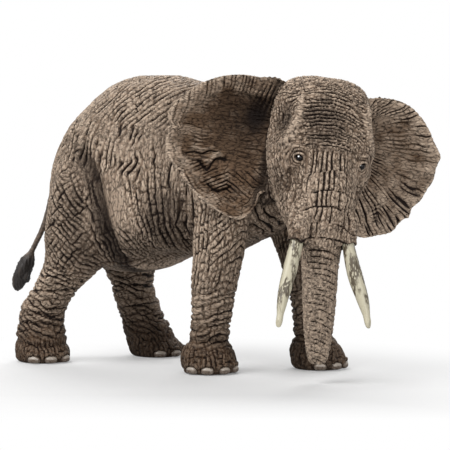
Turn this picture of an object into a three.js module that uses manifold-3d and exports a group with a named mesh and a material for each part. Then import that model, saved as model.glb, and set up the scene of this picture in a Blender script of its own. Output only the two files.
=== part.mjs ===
// A toy African elephant cow in solid vinyl, walking, with its head turned to its right.
// Eleven mouldings are glued together: torso, head with trunk, two ears, two tusks, tail and four legs.
// Millimetres. +Z is up, +X is the way it walks, +Y is its left. The finished model stands on Z = 0.
// While it is built, X = 0 is at the back of the rump and Y = 0 is the middle plane of the torso.
import * as THREE from 'three';
import { mergeVertices } from 'three/addons/utils/BufferGeometryUtils.js';
import Module from 'manifold-3d';

// Joints
const glueGap = 0.3;             // clearance round each plug in its socket

// Torso
const backHeight = 85;           // floor to the top of the back
const torsoLength = 80;          // rump to the chest
const torsoWidth = 43;           // across the barrel
const valleyDepth = 1.4;         // hollow in the side, between the thigh and the belly
const valleyWidth = 3.4;
const bellyDepth = 0.9;          // how far the belly stands out in front of that valley
const bellyReach = 8;

// Neck, part of the head moulding
const neckWidth = 25;
const neckHeight = 33;

// Head
const headAhead = 13;            // middle of the skull in front of the chest
const headAside = 10.5;          // middle of the skull, to the right of the middle plane
const headLift = 61.3;           // floor to the middle of the skull
const skullHeight = 45;          // crown to chin
const skullWidth = 30;
const skullDepth = 31;           // forehead to the back of the skull
const headTurn = -43;            // degrees, towards the right
const headRoll = -8;             // degrees, left side down
const eyeSpacing = 17.4;
const eyeRadius = 1.15;
const browRadius = 2.8;
const templeDepth = 1.4;         // hollow behind the brow, above the cheek bone
const templeReach = 6;
const boneHeight = 0.7;          // how far the brow's edge and the cheek bone stand out round it
const boneReach = 4.5;

// Trunk, part of the head moulding
const trunkLength = 56;
const trunkWidth = 17;           // where it leaves the face
const trunkDepth = 15;

// Ears
const rightEarLength = 30.8;     // side of the head to the outer edge
const leftEarLength = 27.8;
const earHeight = 40;
const earThickness = 2.4;        // at the root
const earSpread = 24;            // between the roots of the two ears, across the head
const earSetback = 4;            // root behind the middle of the skull
const earSweep = 15;             // degrees, backwards
const earCup = 3.6;              // hollow of the front face
const earCurl = 3.4;             // forward roll of the upper edge
const earRipple = 0.9;           // waves along the lower edge
const earTenon = 3;              // root strip that sits in the head's slot

// Tusks
const rightTuskLength = 33;      // root inside the cheek to the tip
const leftTuskLength = 30.5;
const tuskWidth = 4.1;
const tuskSpread = 14;           // between the two roots
const tuskFlare = 5.6;           // each tip, outside its root
const sheathWall = 0.8;          // skin of the cheek round a tusk

// Tail
const tailLength = 50;
const tailWidth = 2.5;
const tuftWidth = 5.2;

// Legs
const rearLegHeight = 66;        // sole to the top of the hip, inside the torso
const rearLegWidth = 16.6;       // across the sole
const rearStance = 30;           // between the middles of the two soles
const frontLegHeight = 60;
const frontLegWidth = 16;
const frontStance = 25;
const nailHeight = 3.4;
const nailDepth = 0.7;           // how far a nail stands out of the foot
const nailThickness = 2.8;       // most of it inside the foot
const foldDepth = 0.6;           // rings of folded skin above the feet
const foldWidth = 0.8;

// Roundness of the meshes
const torsoSides = 32;
const legSides = 16;
const skullSides = 28;
const trunkSides = 18;
const neckSides = 18;
const jawSides = 12;
const tuskSides = 12;
const tailSides = 8;
const lumpSides = 12;
const lumpRings = 7;
const nailSides = 8;
const nailRings = 5;
const earRays = 40;
const earSteps = 6;
const earRipples = 11;
const rowSteps = 2;              // rows of a skin to each row of its table
const shankSteps = 4;            // the same below the knee, a whole number of times as many
const shankRows = 7;             // rows of a leg's table below the knee

// Rows: along the length, top, widest level and bottom as shares of the back height, half width, fullness.
const torsoShares = [
  [0.0, 0.67, 0.62, 0.57, 0.1, 2.0],
  [0.014, 0.715, 0.61, 0.51, 0.38, 2.0],
  [0.045, 0.77, 0.59, 0.445, 0.62, 2.05],
  [0.1, 0.835, 0.56, 0.38, 0.8, 2.1],
  [0.175, 0.9, 0.54, 0.337, 0.9, 2.15],
  [0.275, 0.962, 0.53, 0.316, 0.97, 2.2],
  [0.375, 0.992, 0.52, 0.318, 0.99, 2.2],
  [0.475, 1.0, 0.52, 0.332, 1.0, 2.2],
  [0.6, 0.985, 0.53, 0.357, 0.98, 2.2],
  [0.725, 0.965, 0.56, 0.388, 0.91, 2.15],
  [0.825, 0.95, 0.59, 0.43, 0.82, 2.1],
  [0.925, 0.935, 0.62, 0.47, 0.68, 2.0],
  [0.985, 0.89, 0.65, 0.53, 0.5, 2.0],
  [1.0, 0.84, 0.66, 0.58, 0.36, 2.0],
];

// The valley in the side and the middle of the belly: along the torso, height.
const valleyShares = [
  [0.28, 0.73],
  [0.288, 0.67],
  [0.312, 0.576],
  [0.338, 0.47],
  [0.35, 0.39],
];
const bellyMiddleShares = [0.51, 0.53];

// The temple, the brow's edge and the cheek bone: shares of the skull's depth, width and height.
const templeShares = [0.06, 0.47, 0.178];
const boneShares = [
  [0.26, 0.33, 0.21],
  [0.18, 0.43, -0.08],
];

// Rows: height, forward half length, backward half length and half width of the leg.
const legFullness = 2.1;
const rearLegShares = [
  [0.0, 0.43, 0.46, 0.44],
  [0.02, 0.47, 0.51, 0.48],
  [0.06, 0.46, 0.5, 0.47],
  [0.11, 0.41, 0.46, 0.43],
  [0.17, 0.38, 0.42, 0.41],
  [0.24, 0.37, 0.42, 0.4],
  [0.31, 0.35, 0.38, 0.4],
  [0.37, 0.39, 0.42, 0.43],
  [0.43, 0.5, 0.5, 0.49],
  [0.51, 0.62, 0.56, 0.58],
  [0.61, 0.72, 0.54, 0.64],
  [0.73, 0.74, 0.42, 0.62],
  [0.84, 0.64, 0.28, 0.46],
  [0.93, 0.44, 0.16, 0.26],
  [1.0, 0.16, 0.08, 0.08],
];
const frontLegShares = [
  [0.0, 0.45, 0.45, 0.46],
  [0.025, 0.49, 0.5, 0.5],
  [0.08, 0.47, 0.47, 0.48],
  [0.13, 0.38, 0.39, 0.4],
  [0.17, 0.34, 0.34, 0.35],
  [0.24, 0.35, 0.35, 0.36],
  [0.34, 0.37, 0.37, 0.38],
  [0.46, 0.4, 0.4, 0.41],
  [0.58, 0.46, 0.46, 0.44],
  [0.7, 0.52, 0.48, 0.42],
  [0.82, 0.52, 0.44, 0.33],
  [0.92, 0.38, 0.28, 0.16],
  [1.0, 0.14, 0.1, 0.05],
];

// Each leg: its place along the torso at the sole and at the hip, how far the leg has gone over to the hip at
// each row of its own table above, and where its toenails are, in degrees to the left of straight ahead.
const legs = [
  {
    name: 'rear_right_leg', side: -1, soleShare: 0.03, hipShare: 0.165, hipSideShare: 0.57, rear: true,
    leanShares: [0, 0, 0, 0, 0, 0.08, 0.36, 0.64, 0.88, 0.98, 1, 1, 1, 1, 1],
    nailTurns: [-75, -38, 0],
  },
  {
    name: 'rear_left_leg', side: 1, soleShare: 0.292, hipShare: 0.19, hipSideShare: 0.57, rear: true,
    leanShares: [0, 0, 0.08, 0.24, 0.42, 0.64, 0.8, 0.9, 0.97, 1, 1, 1, 1, 1, 1],
    nailTurns: [-50, -12, 26],
  },
  {
    name: 'front_right_leg', side: -1, soleShare: 0.735, hipShare: 0.81, hipSideShare: 0.74, rear: false,
    leanShares: [0, 0, 0, 0.06, 0.12, 0.25, 0.42, 0.62, 0.82, 0.96, 1, 1, 1],
    nailTurns: [-98, -62, -24, 14],
  },
  {
    name: 'front_left_leg', side: 1, soleShare: 1.01, hipShare: 0.86, hipSideShare: 0.74, rear: false,
    leanShares: [0, 0, 0.04, 0.1, 0.14, 0.17, 0.22, 0.36, 0.62, 0.86, 1, 1, 1],
    nailTurns: [-58, -20, 18, 56],
  },
];
const rearFoldShares = [0.088, 0.178, 0.222, 0.276, 0.33];     // heights of the folds, of the leg
const frontFoldShares = [0.155, 0.215, 0.265, 0.32, 0.38];
const nailWidthShare = 0.27;     // of the width across the sole
const nailLiftShare = 0.6;       // middle of a nail above the floor, of its height

// Rows: height from the middle of the skull, front, back and half width, as shares of the skull.
const skullShares = [
  [0.5, 0.1, -0.2, 0.36, 2.0],
  [0.475, 0.2, -0.32, 0.62, 2.0],
  [0.41, 0.28, -0.45, 0.84, 2.1],
  [0.28, 0.35, -0.5, 0.95, 2.15],
  [0.14, 0.4, -0.5, 1.0, 2.2],
  [0.02, 0.42, -0.48, 0.99, 2.2],
  [-0.1, 0.42, -0.42, 0.9, 2.2],
  [-0.2, 0.42, -0.34, 0.8, 2.2],
  [-0.3, 0.43, -0.24, 0.72, 2.2],
  [-0.4, 0.4, -0.1, 0.6, 2.1],
  [-0.47, 0.33, 0.02, 0.42, 2.0],
  [-0.5, 0.24, 0.08, 0.2, 2.0],
];

// Where an eye lies in front of the middle of the skull, and its brow behind and above it.
const eyeDepthShare = 0.355;
const browSinkShare = 0.5;
const browLiftShare = 0.35;
const browRadiusShares = [0.75, 0.85, 1];    // forward, sideways, up

// Points of the middle line of the forehead and trunk: forward and leftward as shares of the skull, height from
// the middle of the skull as a share of the trunk.
const trunkPathShares = [
  [0.02, -0.01, 0.33],
  [0.14, 0, 0.18],
  [0.22, 0, 0.0],
  [0.28, 0.01, -0.16],
  [0.31, 0.03, -0.32],
  [0.3, 0.06, -0.5],
  [0.27, 0.1, -0.68],
  [0.25, 0.135, -0.84],
  [0.26, 0.17, -1],
];
// Rows: place along that line, half width, half depth.
const trunkShares = [
  [0, 0.3, 0.3],
  [0.06, 0.42, 0.46],
  [0.16, 0.44, 0.52],
  [0.28, 0.44, 0.52],
  [0.38, 0.5, 0.54],
  [0.46, 0.48, 0.52],
  [0.54, 0.38, 0.46],
  [0.6, 0.34, 0.41],
  [0.68, 0.31, 0.37],
  [0.78, 0.275, 0.33],
  [0.88, 0.235, 0.285],
  [0.95, 0.195, 0.24],
  [0.985, 0.16, 0.2],
  [1, 0.1, 0.14],
];

// The neck's plug inside the torso and the neck at the chest: along the torso, height.
const neckRootShares = [0.87, 0.71];
const neckChestShares = [0.95, 0.73];
// Rows: place along the neck, width, height.
const neckShares = [
  [0, 0.6, 0.5],
  [0.12, 0.66, 0.62],
  [0.28, 0.84, 0.86],
  [0.45, 0.96, 0.98],
  [0.65, 0.98, 0.98],
  [0.85, 0.92, 0.92],
  [1, 0.8, 0.84],
];

// The lower jaw, behind the trunk: forward and upward from the middle of the skull.
const jawPathShares = [
  [-0.15, -0.28],
  [-0.04, -0.45],
  [0.07, -0.59],
];
// Rows: place along the jaw, radius as a share of the skull's width.
const jawShares = [
  [0, 0.24],
  [0.35, 0.21],
  [0.7, 0.15],
  [0.92, 0.09],
  [1, 0.03],
];

// Outline of an ear, from the top of its root round the edge to the bottom: outward and upward.
const earEdgeShares = [
  [0.03, 0.47],
  [0.2, 0.5],
  [0.36, 0.505],
  [0.55, 0.475],
  [0.7, 0.42],
  [0.82, 0.345],
  [0.92, 0.25],
  [0.985, 0.14],
  [0.95, 0.06],
  [0.985, -0.02],
  [0.93, -0.13],
  [0.83, -0.215],
  [0.74, -0.29],
  [0.62, -0.375],
  [0.5, -0.43],
  [0.36, -0.475],
  [0.22, -0.5],
  [0.1, -0.45],
  [0.0, -0.34],
];
const earRootShares = [
  [-1.0, 0.45],
  [-0.8, 0.2],
  [-1.2, -0.1],
  [-1.7, -0.31],
];
const earUpperShares = [-0.1, 0.4];     // where the upper half of an ear begins and is in full, of its height
const earLowCupShare = 0.4;             // hollow of the lower half, of the upper half's
const earEdgeThicknessShare = 0.45;     // of the thickness at the root
const slotEndShare = 2;                 // clearance above and below an ear's root, of that round it
const earLiftTurns = { right: 0.5, left: -3.5 };    // degrees, how far each ear is turned up at its outer edge

// Where a tusk starts inside the cheek, below the middle of the skull.
const tuskRootShare = 0.28;
// Points of a tusk's middle line, from there to the tip: forward of the skull, outward, downward.
const tuskPathShares = [
  [0.34, -0.1, 0],
  [0.46, 0.1, 0.25],
  [0.56, 0.42, 0.5],
  [0.65, 0.78, 0.76],
  [0.75, 1.0, 1],
];
// Rows: place along the tusk, radius.
const tuskShares = [
  [0, 0.36],
  [0.15, 0.4],
  [0.35, 0.47],
  [0.6, 0.5],
  [0.8, 0.38],
  [0.92, 0.22],
  [1, 0.05],
];

// Rows of the skin round its root: place along the tusk, radius.
const sheathShares = [
  [0, 0.95],
  [0.1, 1.16],
  [0.2, 1.18],
  [0.3, 1.0],
  [0.36, 0.88],
];

// Points of the tail's middle line: backward and rightward as shares of the tail, height of the back.
const tailPathShares = [
  [-0.08, 0.0, 0.7],
  [0.03, 0.0, 0.67],
  [0.075, 0.02, 0.6],
  [0.115, 0.05, 0.48],
  [0.215, 0.09, 0.35],
  [0.3, 0.1, 0.235],
];
const tailShares = [
  [0, 0.5, 0],
  [0.2, 0.5, 0],
  [0.45, 0.42, 0],
  [0.65, 0.38, 0.05],
  [0.76, 0.3, 0.3],
  [0.86, 0.2, 0.5],
  [0.95, 0.1, 0.34],
  [1, 0.05, 0.12],
];

// Vinyl mouldings and paint
const skinPaint = new THREE.MeshStandardMaterial({ color: 0x7d6c5c, roughness: 0.72, metalness: 0 });
const earPaint = new THREE.MeshStandardMaterial({ color: 0x75614f, roughness: 0.72, metalness: 0 });
const ivoryPaint = new THREE.MeshStandardMaterial({ color: 0xcfc8a9, roughness: 0.45, metalness: 0 });
const tailPaint = new THREE.MeshStandardMaterial({ color: 0x5b4a3d, roughness: 0.75, metalness: 0 });

const wasm = await Module();
wasm.setup();

const up = new THREE.Vector3(0, 0, 1);
const ahead = new THREE.Vector3(1, 0, 0);
const left = new THREE.Vector3(0, 1, 0);

// A closed solid from points and triangles, turned so that its faces point out.
function solid(points, triangles) {
  let volume = 0;
  for (const [a, b, c] of triangles) {
    volume += points[a].dot(new THREE.Vector3().crossVectors(points[b], points[c]));
  }
  const facing = volume > 0 ? triangles : triangles.map(([a, b, c]) => [a, c, b]);
  return new wasm.Manifold(new wasm.Mesh({
    numProp: 3,
    vertProperties: new Float32Array(points.flatMap((point) => point.toArray())),
    triVerts: new Uint32Array(facing.flat()),
  }));
}

// A closed solid from one of the library's own geometries.
function solidOf(geometry) {
  geometry.deleteAttribute('normal');
  geometry.deleteAttribute('uv');
  const merged = mergeVertices(geometry);
  return new wasm.Manifold(new wasm.Mesh({
    numProp: 3,
    vertProperties: new Float32Array(merged.attributes.position.array),
    triVerts: new Uint32Array(merged.index.array),
  }));
}

// Rows between the given ones, on smooth curves, with so many steps to each gap.
function smoothRows(rows, stepsPerGap) {
  const places = rows.map((row, index) => index);
  const curve = new THREE.CubicInterpolant(places, rows.flat(), rows[0].length);
  const count = (rows.length - 1) * stepsPerGap;
  return Array.from({ length: count + 1 }, (unused, step) => [...curve.evaluate(step / stepsPerGap)]);
}

// One rounded ring of a skin round a centre, with its own reach along each of two directions and against them.
function ring(centre, first, second, reach, sides) {
  const points = [];
  for (let side = 0; side < sides; side += 1) {
    const turn = (2 * Math.PI * side) / sides;
    const power = 2 / reach.fullness;
    const cosine = Math.sign(Math.cos(turn)) * Math.abs(Math.cos(turn)) ** power;
    const sine = Math.sign(Math.sin(turn)) * Math.abs(Math.sin(turn)) ** power;
    points.push(centre.clone()
      .addScaledVector(first, cosine * (cosine > 0 ? reach.toFirst : reach.fromFirst))
      .addScaledVector(second, sine * (sine > 0 ? reach.toSecond : reach.fromSecond)));
  }
  return points;
}

// A closed skin over rings with as many points each, with a flat cap at both ends.
function skin(rings) {
  const sides = rings[0].length;
  const points = rings.flat();
  const triangles = [];
  for (let row = 0; row + 1 < rings.length; row += 1) {
    for (let side = 0; side < sides; side += 1) {
      const here = row * sides + side;
      const next = row * sides + ((side + 1) % sides);
      triangles.push([here, next, next + sides], [here, next + sides, here + sides]);
    }
  }
  for (const row of [0, rings.length - 1]) {
    const middle = new THREE.Vector3();
    rings[row].forEach((point) => middle.addScaledVector(point, 1 / sides));
    points.push(middle);
    for (let side = 0; side < sides; side += 1) {
      const here = row * sides + side;
      const next = row * sides + ((side + 1) % sides);
      triangles.push(row === 0 ? [next, here, points.length - 1] : [here, next, points.length - 1]);
    }
  }
  return solid(points, triangles);
}

// A closed sheet between two grids of points.
function sheet(front, back) {
  const rays = front.length;
  const steps = front[0].length;
  const points = [...front.flat(), ...back.flat()];
  const behind = rays * steps;
  const at = (ray, step) => ray * steps + step;
  const triangles = [];
  for (let ray = 0; ray + 1 < rays; ray += 1) {
    for (let step = 0; step + 1 < steps; step += 1) {
      const corners = [at(ray, step), at(ray + 1, step), at(ray + 1, step + 1), at(ray, step + 1)];
      const [a, b, c, d] = corners;
      triangles.push([a, b, c], [a, c, d]);
      triangles.push([c + behind, b + behind, a + behind], [d + behind, c + behind, a + behind]);
    }
  }
  const rim = [];
  for (let ray = 0; ray + 1 < rays; ray += 1) {
    rim.push([at(ray + 1, 0), at(ray, 0)]);
    rim.push([at(ray, steps - 1), at(ray + 1, steps - 1)]);
  }
  for (let step = 0; step + 1 < steps; step += 1) {
    rim.push([at(0, step), at(0, step + 1)]);
    rim.push([at(rays - 1, step + 1), at(rays - 1, step)]);
  }
  for (const [from, to] of rim) {
    triangles.push([from, to, to + behind], [from, to + behind, from + behind]);
  }
  return solid(points, triangles);
}

// How far the first and the last of so many rows move along, when their skin grows by a margin.
function capShift(index, count, margin) {
  if (index === 0) {
    return -margin;
  }
  return index === count - 1 ? margin : 0;
}

// A round limb along a curve, grown by a margin all round. Each row gives its place on the curve and its half
// width and half depth.
function limb(curve, rows, sides, crossways, margin) {
  return skin(rows.map(([place, halfWidth, halfDepth], index) => {
    const along = curve.getTangentAt(place);
    const across = crossways.clone().addScaledVector(along, -crossways.dot(along)).normalize();
    const through = new THREE.Vector3().crossVectors(along, across);
    const reach = {
      toFirst: halfWidth + margin,
      fromFirst: halfWidth + margin,
      toSecond: halfDepth + margin,
      fromSecond: halfDepth + margin,
      fullness: 2,
    };
    const centre = curve.getPointAt(place).addScaledVector(along, capShift(index, rows.length, margin));
    return ring(centre, across, through, reach, sides);
  }));
}

// An egg-shaped lump.
function lump(centre, radii) {
  const geometry = new THREE.SphereGeometry(1, lumpSides, lumpRings);
  geometry.scale(...radii);
  geometry.translate(...centre);
  return solidOf(geometry);
}

// A soft step from 1 at a place to nothing, so far from it.
function softened(distance, width) {
  return Math.exp(-((distance / width) ** 2));
}

// How far the side of the torso stands out at a place, with the valley behind the belly.
function sideRelief(point) {
  const side = new THREE.Vector3(point.x, point.z, 0);
  const place = ([along, height]) => new THREE.Vector3(along * torsoLength, height * backHeight, 0);
  const fromValley = Math.min(...valleyShares.slice(1).map((end, index) => {
    const stretch = new THREE.Line3(place(valleyShares[index]), place(end));
    return stretch.closestPointToPoint(side, true, new THREE.Vector3()).distanceTo(side);
  }));
  const fromBelly = place(bellyMiddleShares).distanceTo(side);
  return bellyDepth * softened(fromBelly, bellyReach) - valleyDepth * softened(fromValley, valleyWidth);
}

function torsoSkin() {
  const rows = smoothRows(torsoShares, rowSteps);
  return skin(rows.map(([along, top, widest, bottom, halfWidth, fullness]) => {
    const reach = {
      toFirst: (halfWidth * torsoWidth) / 2,
      fromFirst: (halfWidth * torsoWidth) / 2,
      toSecond: (top - widest) * backHeight,
      fromSecond: (widest - bottom) * backHeight,
      fullness,
    };
    const centre = new THREE.Vector3(along * torsoLength, 0, widest * backHeight);
    return ring(centre, left, up, reach, torsoSides).map((point) => (
      point.addScaledVector(left, (point.y / reach.toFirst) * sideRelief(point))
    ));
  }));
}

// The middle of a leg's sole.
function soleOf(leg) {
  const stance = leg.rear ? rearStance : frontStance;
  return new THREE.Vector3(leg.soleShare * torsoLength, (leg.side * stance) / 2, 0);
}

// The rows of a leg's table with those between them, closer together below the knee.
function legRows(table) {
  return smoothRows(table, shankSteps).filter((row, index) => (
    index <= shankRows * shankSteps || index % (shankSteps / rowSteps) === 0
  ));
}

// A leg, grown by a margin all round. The sole is flat.
function legSkin(leg, margin) {
  const height = leg.rear ? rearLegHeight : frontLegHeight;
  const width = leg.rear ? rearLegWidth : frontLegWidth;
  const sole = soleOf(leg);
  const hip = new THREE.Vector3(leg.hipShare * torsoLength, (leg.side * leg.hipSideShare * torsoWidth) / 2, 0);
  const table = leg.rear ? rearLegShares : frontLegShares;
  const folds = leg.rear ? rearFoldShares : frontFoldShares;
  const rows = legRows(table.map((row, index) => [...row, leg.leanShares[index]]));
  return skin(rows.map(([level, forward, backward, halfWidth, lean], index) => {
    const fold = Math.max(...folds.map((share) => softened((level - share) * height, foldWidth)));
    const grown = margin - foldDepth * fold;
    const reach = {
      toFirst: forward * width + grown,
      fromFirst: backward * width + grown,
      toSecond: halfWidth * width + grown,
      fromSecond: halfWidth * width + grown,
      fullness: legFullness,
    };
    const centre = sole.clone().lerp(hip, lean);
    centre.z = level * height + (index === rows.length - 1 ? margin : 0);
    return ring(centre, ahead, left, reach, legSides);
  }));
}

// The toenails of a foot, on its front edge.
function nails(leg) {
  const width = leg.rear ? rearLegWidth : frontLegWidth;
  const sole = soleOf(leg);
  return leg.nailTurns.map((degrees) => {
    const turn = THREE.MathUtils.degToRad(degrees);
    const geometry = new THREE.SphereGeometry(1, nailSides, nailRings);
    geometry.scale(nailThickness / 2, (nailWidthShare * width) / 2, nailHeight / 2);
    geometry.translate(width / 2 + nailDepth - nailThickness / 2, 0, nailLiftShare * nailHeight);
    geometry.rotateZ(turn);
    geometry.translate(sole.x, sole.y, 0);
    return solidOf(geometry);
  });
}

function tailSkin(margin) {
  const points = tailPathShares.map(([backward, rightward, height]) => new THREE.Vector3(
    -backward * tailLength, -rightward * tailLength, height * backHeight,
  ));
  const curve = new THREE.CatmullRomCurve3(points);
  const rows = smoothRows(tailShares, rowSteps).map(([place, cord, tuft]) => {
    const radius = Math.max(cord * tailWidth, tuft * tuftWidth);
    return [place, radius, radius];
  });
  return limb(curve, rows, tailSides, left, margin);
}

// Where the head is held: the middle of the skull, the turn and the roll.
const headFrame = new THREE.Matrix4()
  .makeTranslation(torsoLength + headAhead, -headAside, headLift)
  .multiply(new THREE.Matrix4().makeRotationZ(THREE.MathUtils.degToRad(headTurn)))
  .multiply(new THREE.Matrix4().makeRotationX(THREE.MathUtils.degToRad(headRoll)));

// Points of the head's own frame: forward, leftward and upward from the middle of the skull.
function onHead(forward, leftward, upward) {
  return new THREE.Vector3(forward, leftward, upward).applyMatrix4(headFrame);
}

function headDirection(vector) {
  return vector.clone().transformDirection(headFrame);
}

// How far a side of the skull stands out at a place of the head's own frame.
function templeRelief(place) {
  const side = new THREE.Vector3(place.x, Math.abs(place.y), place.z);
  const from = ([forward, leftward, upward]) => side.distanceTo(
    new THREE.Vector3(forward * skullDepth, leftward * skullWidth, upward * skullHeight),
  );
  const bones = boneShares.map((bone) => boneHeight * softened(from(bone), boneReach));
  return Math.max(...bones) - templeDepth * softened(from(templeShares), templeReach);
}

function skullSkin(margin) {
  const toHead = headFrame.clone().invert();
  const rows = smoothRows(skullShares, rowSteps);
  return skin(rows.map(([level, front, back, halfWidth, fullness], index) => {
    const middle = (front + back) / 2;
    const reach = {
      toFirst: (front - middle) * skullDepth + margin,
      fromFirst: (middle - back) * skullDepth + margin,
      toSecond: (halfWidth * skullWidth) / 2 + margin,
      fromSecond: (halfWidth * skullWidth) / 2 + margin,
      fullness,
    };
    const shift = capShift(index, rows.length, -margin);
    const centre = onHead(middle * skullDepth, 0, level * skullHeight + shift);
    return ring(centre, headDirection(ahead), headDirection(left), reach, skullSides).map((point) => {
      const place = point.clone().applyMatrix4(toHead);
      return point.addScaledVector(headDirection(left), (place.y / reach.toSecond) * templeRelief(place));
    });
  }));
}

function trunkSkin() {
  const points = trunkPathShares.map(([forward, leftward, upward]) => onHead(
    forward * skullDepth, leftward * skullWidth, upward * trunkLength,
  ));
  const rows = smoothRows(trunkShares, rowSteps).map(([place, halfWidth, halfDepth]) => [
    place, halfWidth * trunkWidth, halfDepth * trunkDepth,
  ]);
  return limb(new THREE.CatmullRomCurve3(points), rows, trunkSides, headDirection(left), 0);
}

function jawSkin(margin) {
  const points = jawPathShares.map(([forward, upward]) => onHead(
    forward * skullDepth, 0, upward * skullHeight,
  ));
  const rows = jawShares.map(([place, radius]) => [place, radius * skullWidth, radius * skullWidth]);
  return limb(new THREE.CatmullRomCurve3(points), rows, jawSides, headDirection(left), margin);
}

function neckSkin(margin) {
  const inTorso = new THREE.Vector3(neckRootShares[0] * torsoLength, 0, neckRootShares[1] * backHeight);
  const atChest = new THREE.Vector3(neckChestShares[0] * torsoLength, 0, neckChestShares[1] * backHeight);
  const curve = new THREE.QuadraticBezierCurve3(inTorso, atChest, onHead(0, 0, 0));
  const rows = neckShares.map(([place, width, height]) => [
    place, (width * neckWidth) / 2, (height * neckHeight) / 2,
  ]);
  return limb(curve, rows, neckSides, left, margin);
}

function tuskCurve(side) {
  const length = side > 0 ? leftTuskLength : rightTuskLength;
  return new THREE.CatmullRomCurve3(tuskPathShares.map(([forward, outward, downward]) => onHead(
    forward * skullDepth,
    side * (tuskSpread / 2 + outward * tuskFlare),
    -tuskRootShare * skullHeight - downward * length,
  )));
}

function tuskSkin(side, margin) {
  const rows = smoothRows(tuskShares, rowSteps).map(([place, radius]) => [
    place, radius * tuskWidth, radius * tuskWidth,
  ]);
  return limb(tuskCurve(side), rows, tuskSides, headDirection(left), margin);
}

// The skin of the cheek round the root of a tusk.
function sheathSkin(side) {
  const radius = tuskWidth / 2 + glueGap + sheathWall;
  const rows = sheathShares.map(([place, share]) => [place, radius * share, radius * share]);
  return limb(tuskCurve(side), rows, trunkSides, headDirection(left), 0);
}

function earSkin(side, margin) {
  const lift = THREE.MathUtils.degToRad(side > 0 ? earLiftTurns.left : earLiftTurns.right);
  const sweep = THREE.MathUtils.degToRad(earSweep);
  const earLength = side > 0 ? leftEarLength : rightEarLength;
  const edge = new THREE.CatmullRomCurve3(earEdgeShares.map(([outward, upward]) => new THREE.Vector3(
    outward * earLength, upward * earHeight, 0,
  )));
  const root = new THREE.CatmullRomCurve3(earRootShares.map(([outward, upward]) => new THREE.Vector3(
    outward * earTenon, upward * earHeight, 0,
  )));
  const faces = [[], []];
  for (let ray = 0; ray <= earRays; ray += 1) {
    const rim = edge.getPointAt(ray / earRays);
    const hold = root.getPointAt(ray / earRays);
    const reach = rim.distanceTo(hold) / earLength;
    const growth = slotEndShare * capShift(ray, earRays + 1, -margin);
    rim.y += growth;
    hold.y += growth;
    hold.x -= margin;
    const upper = THREE.MathUtils.smoothstep(rim.y / earHeight, ...earUpperShares);
    faces.forEach((face) => face.push([]));
    for (let step = 0; step <= earSteps; step += 1) {
      const place = step / earSteps;
      const flat = hold.clone().lerp(rim, place);
      const ripple = Math.sin((2 * Math.PI * earRipples * ray) / earRays) * (1 - upper);
      const curl = earCurl * upper * place ** 4 + earRipple * ripple * place ** 2;
      const cup = earCup * Math.sin(Math.PI * place) * THREE.MathUtils.lerp(earLowCupShare, 1, upper);
      const forward = reach * (curl - cup);
      const half = (earThickness * THREE.MathUtils.lerp(1, earEdgeThicknessShare, place)) / 2 + margin;
      const turned = new THREE.Vector2(flat.x, flat.y).rotateAround(new THREE.Vector2(), lift);
      [half, -half].forEach((offset, face) => {
        const depth = forward + offset;
        faces[face][ray].push(onHead(
          -earSetback - turned.x * Math.sin(sweep) + depth * Math.cos(sweep),
          side * (earSpread / 2 + turned.x * Math.cos(sweep) + depth * Math.sin(sweep)),
          turned.y,
        ));
      });
    }
  }
  return sheet(faces[0], faces[1]);
}

// The brows and eyes, on both sides of the face.
function eyes() {
  const parts = [];
  for (const side of [-1, 1]) {
    const forward = eyeDepthShare * skullDepth;
    const leftward = (side * eyeSpacing) / 2;
    const brow = browRadiusShares.map((share) => share * browRadius);
    parts.push(lump(onHead(forward - browSinkShare * browRadius, leftward, browLiftShare * browRadius), brow));
    parts.push(lump(onHead(forward, leftward, 0), [eyeRadius, eyeRadius, eyeRadius]));
  }
  return parts;
}

// All of a list of solids in one.
function joined(solids) {
  return solids.reduce((whole, piece) => whole.add(piece));
}

// A solid with a socket for each of the given solids.
function socketed(host, plugs) {
  return plugs.reduce((rest, plug) => rest.subtract(plug), host);
}

function piece(name, shape, material) {
  const mesh = shape.getMesh();
  const geometry = new THREE.BufferGeometry();
  geometry.setAttribute('position', new THREE.BufferAttribute(new Float32Array(mesh.vertProperties), 3));
  geometry.setIndex(new THREE.BufferAttribute(new Uint32Array(mesh.triVerts), 1));
  geometry.computeVertexNormals();
  const node = new THREE.Mesh(geometry, material);
  node.name = name;
  return node;
}

const headCore = joined([
  skullSkin(0), trunkSkin(), jawSkin(0), neckSkin(0), sheathSkin(-1), sheathSkin(1), ...eyes(),
]);
const head = socketed(headCore, [
  earSkin(-1, glueGap), earSkin(1, glueGap), tuskSkin(-1, glueGap), tuskSkin(1, glueGap),
]);
const torso = socketed(torsoSkin(), [
  neckSkin(glueGap),
  skullSkin(glueGap),
  jawSkin(glueGap),
  tailSkin(glueGap),
  ...legs.map((leg) => legSkin(leg, glueGap)),
]);

const figure = new THREE.Group();
figure.add(piece('torso', torso, skinPaint));
figure.add(piece('head', head, skinPaint));
figure.add(piece('right_ear', earSkin(-1, 0), earPaint));
figure.add(piece('left_ear', earSkin(1, 0), earPaint));
figure.add(piece('right_tusk', tuskSkin(-1, 0), ivoryPaint));
figure.add(piece('left_tusk', tuskSkin(1, 0), ivoryPaint));
figure.add(piece('tail', tailSkin(0), tailPaint));
for (const leg of legs) {
  figure.add(piece(leg.name, joined([legSkin(leg, 0), ...nails(leg)]), skinPaint));
}

// The origin is on the floor, under the middle of the whole figure.
const box = new THREE.Box3().setFromObject(figure);
figure.position.set(-(box.min.x + box.max.x) / 2, -(box.min.y + box.max.y) / 2, 0);

export default figure;
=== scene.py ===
"""Dresses the packed toy African elephant cow: sculpted, washed and dry-brushed vinyl on a white floor.

The figure is hand-painted solid vinyl. Its skin starts as one soft body made from the packed mouldings, is
carved in millimetres, and is parted again where the mouldings meet, so that each piece stands for its node.
The places, widths and heights in the carving are in millimetres, in the frames of on_body, on_head and
on_ear.
"""

import math

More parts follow.
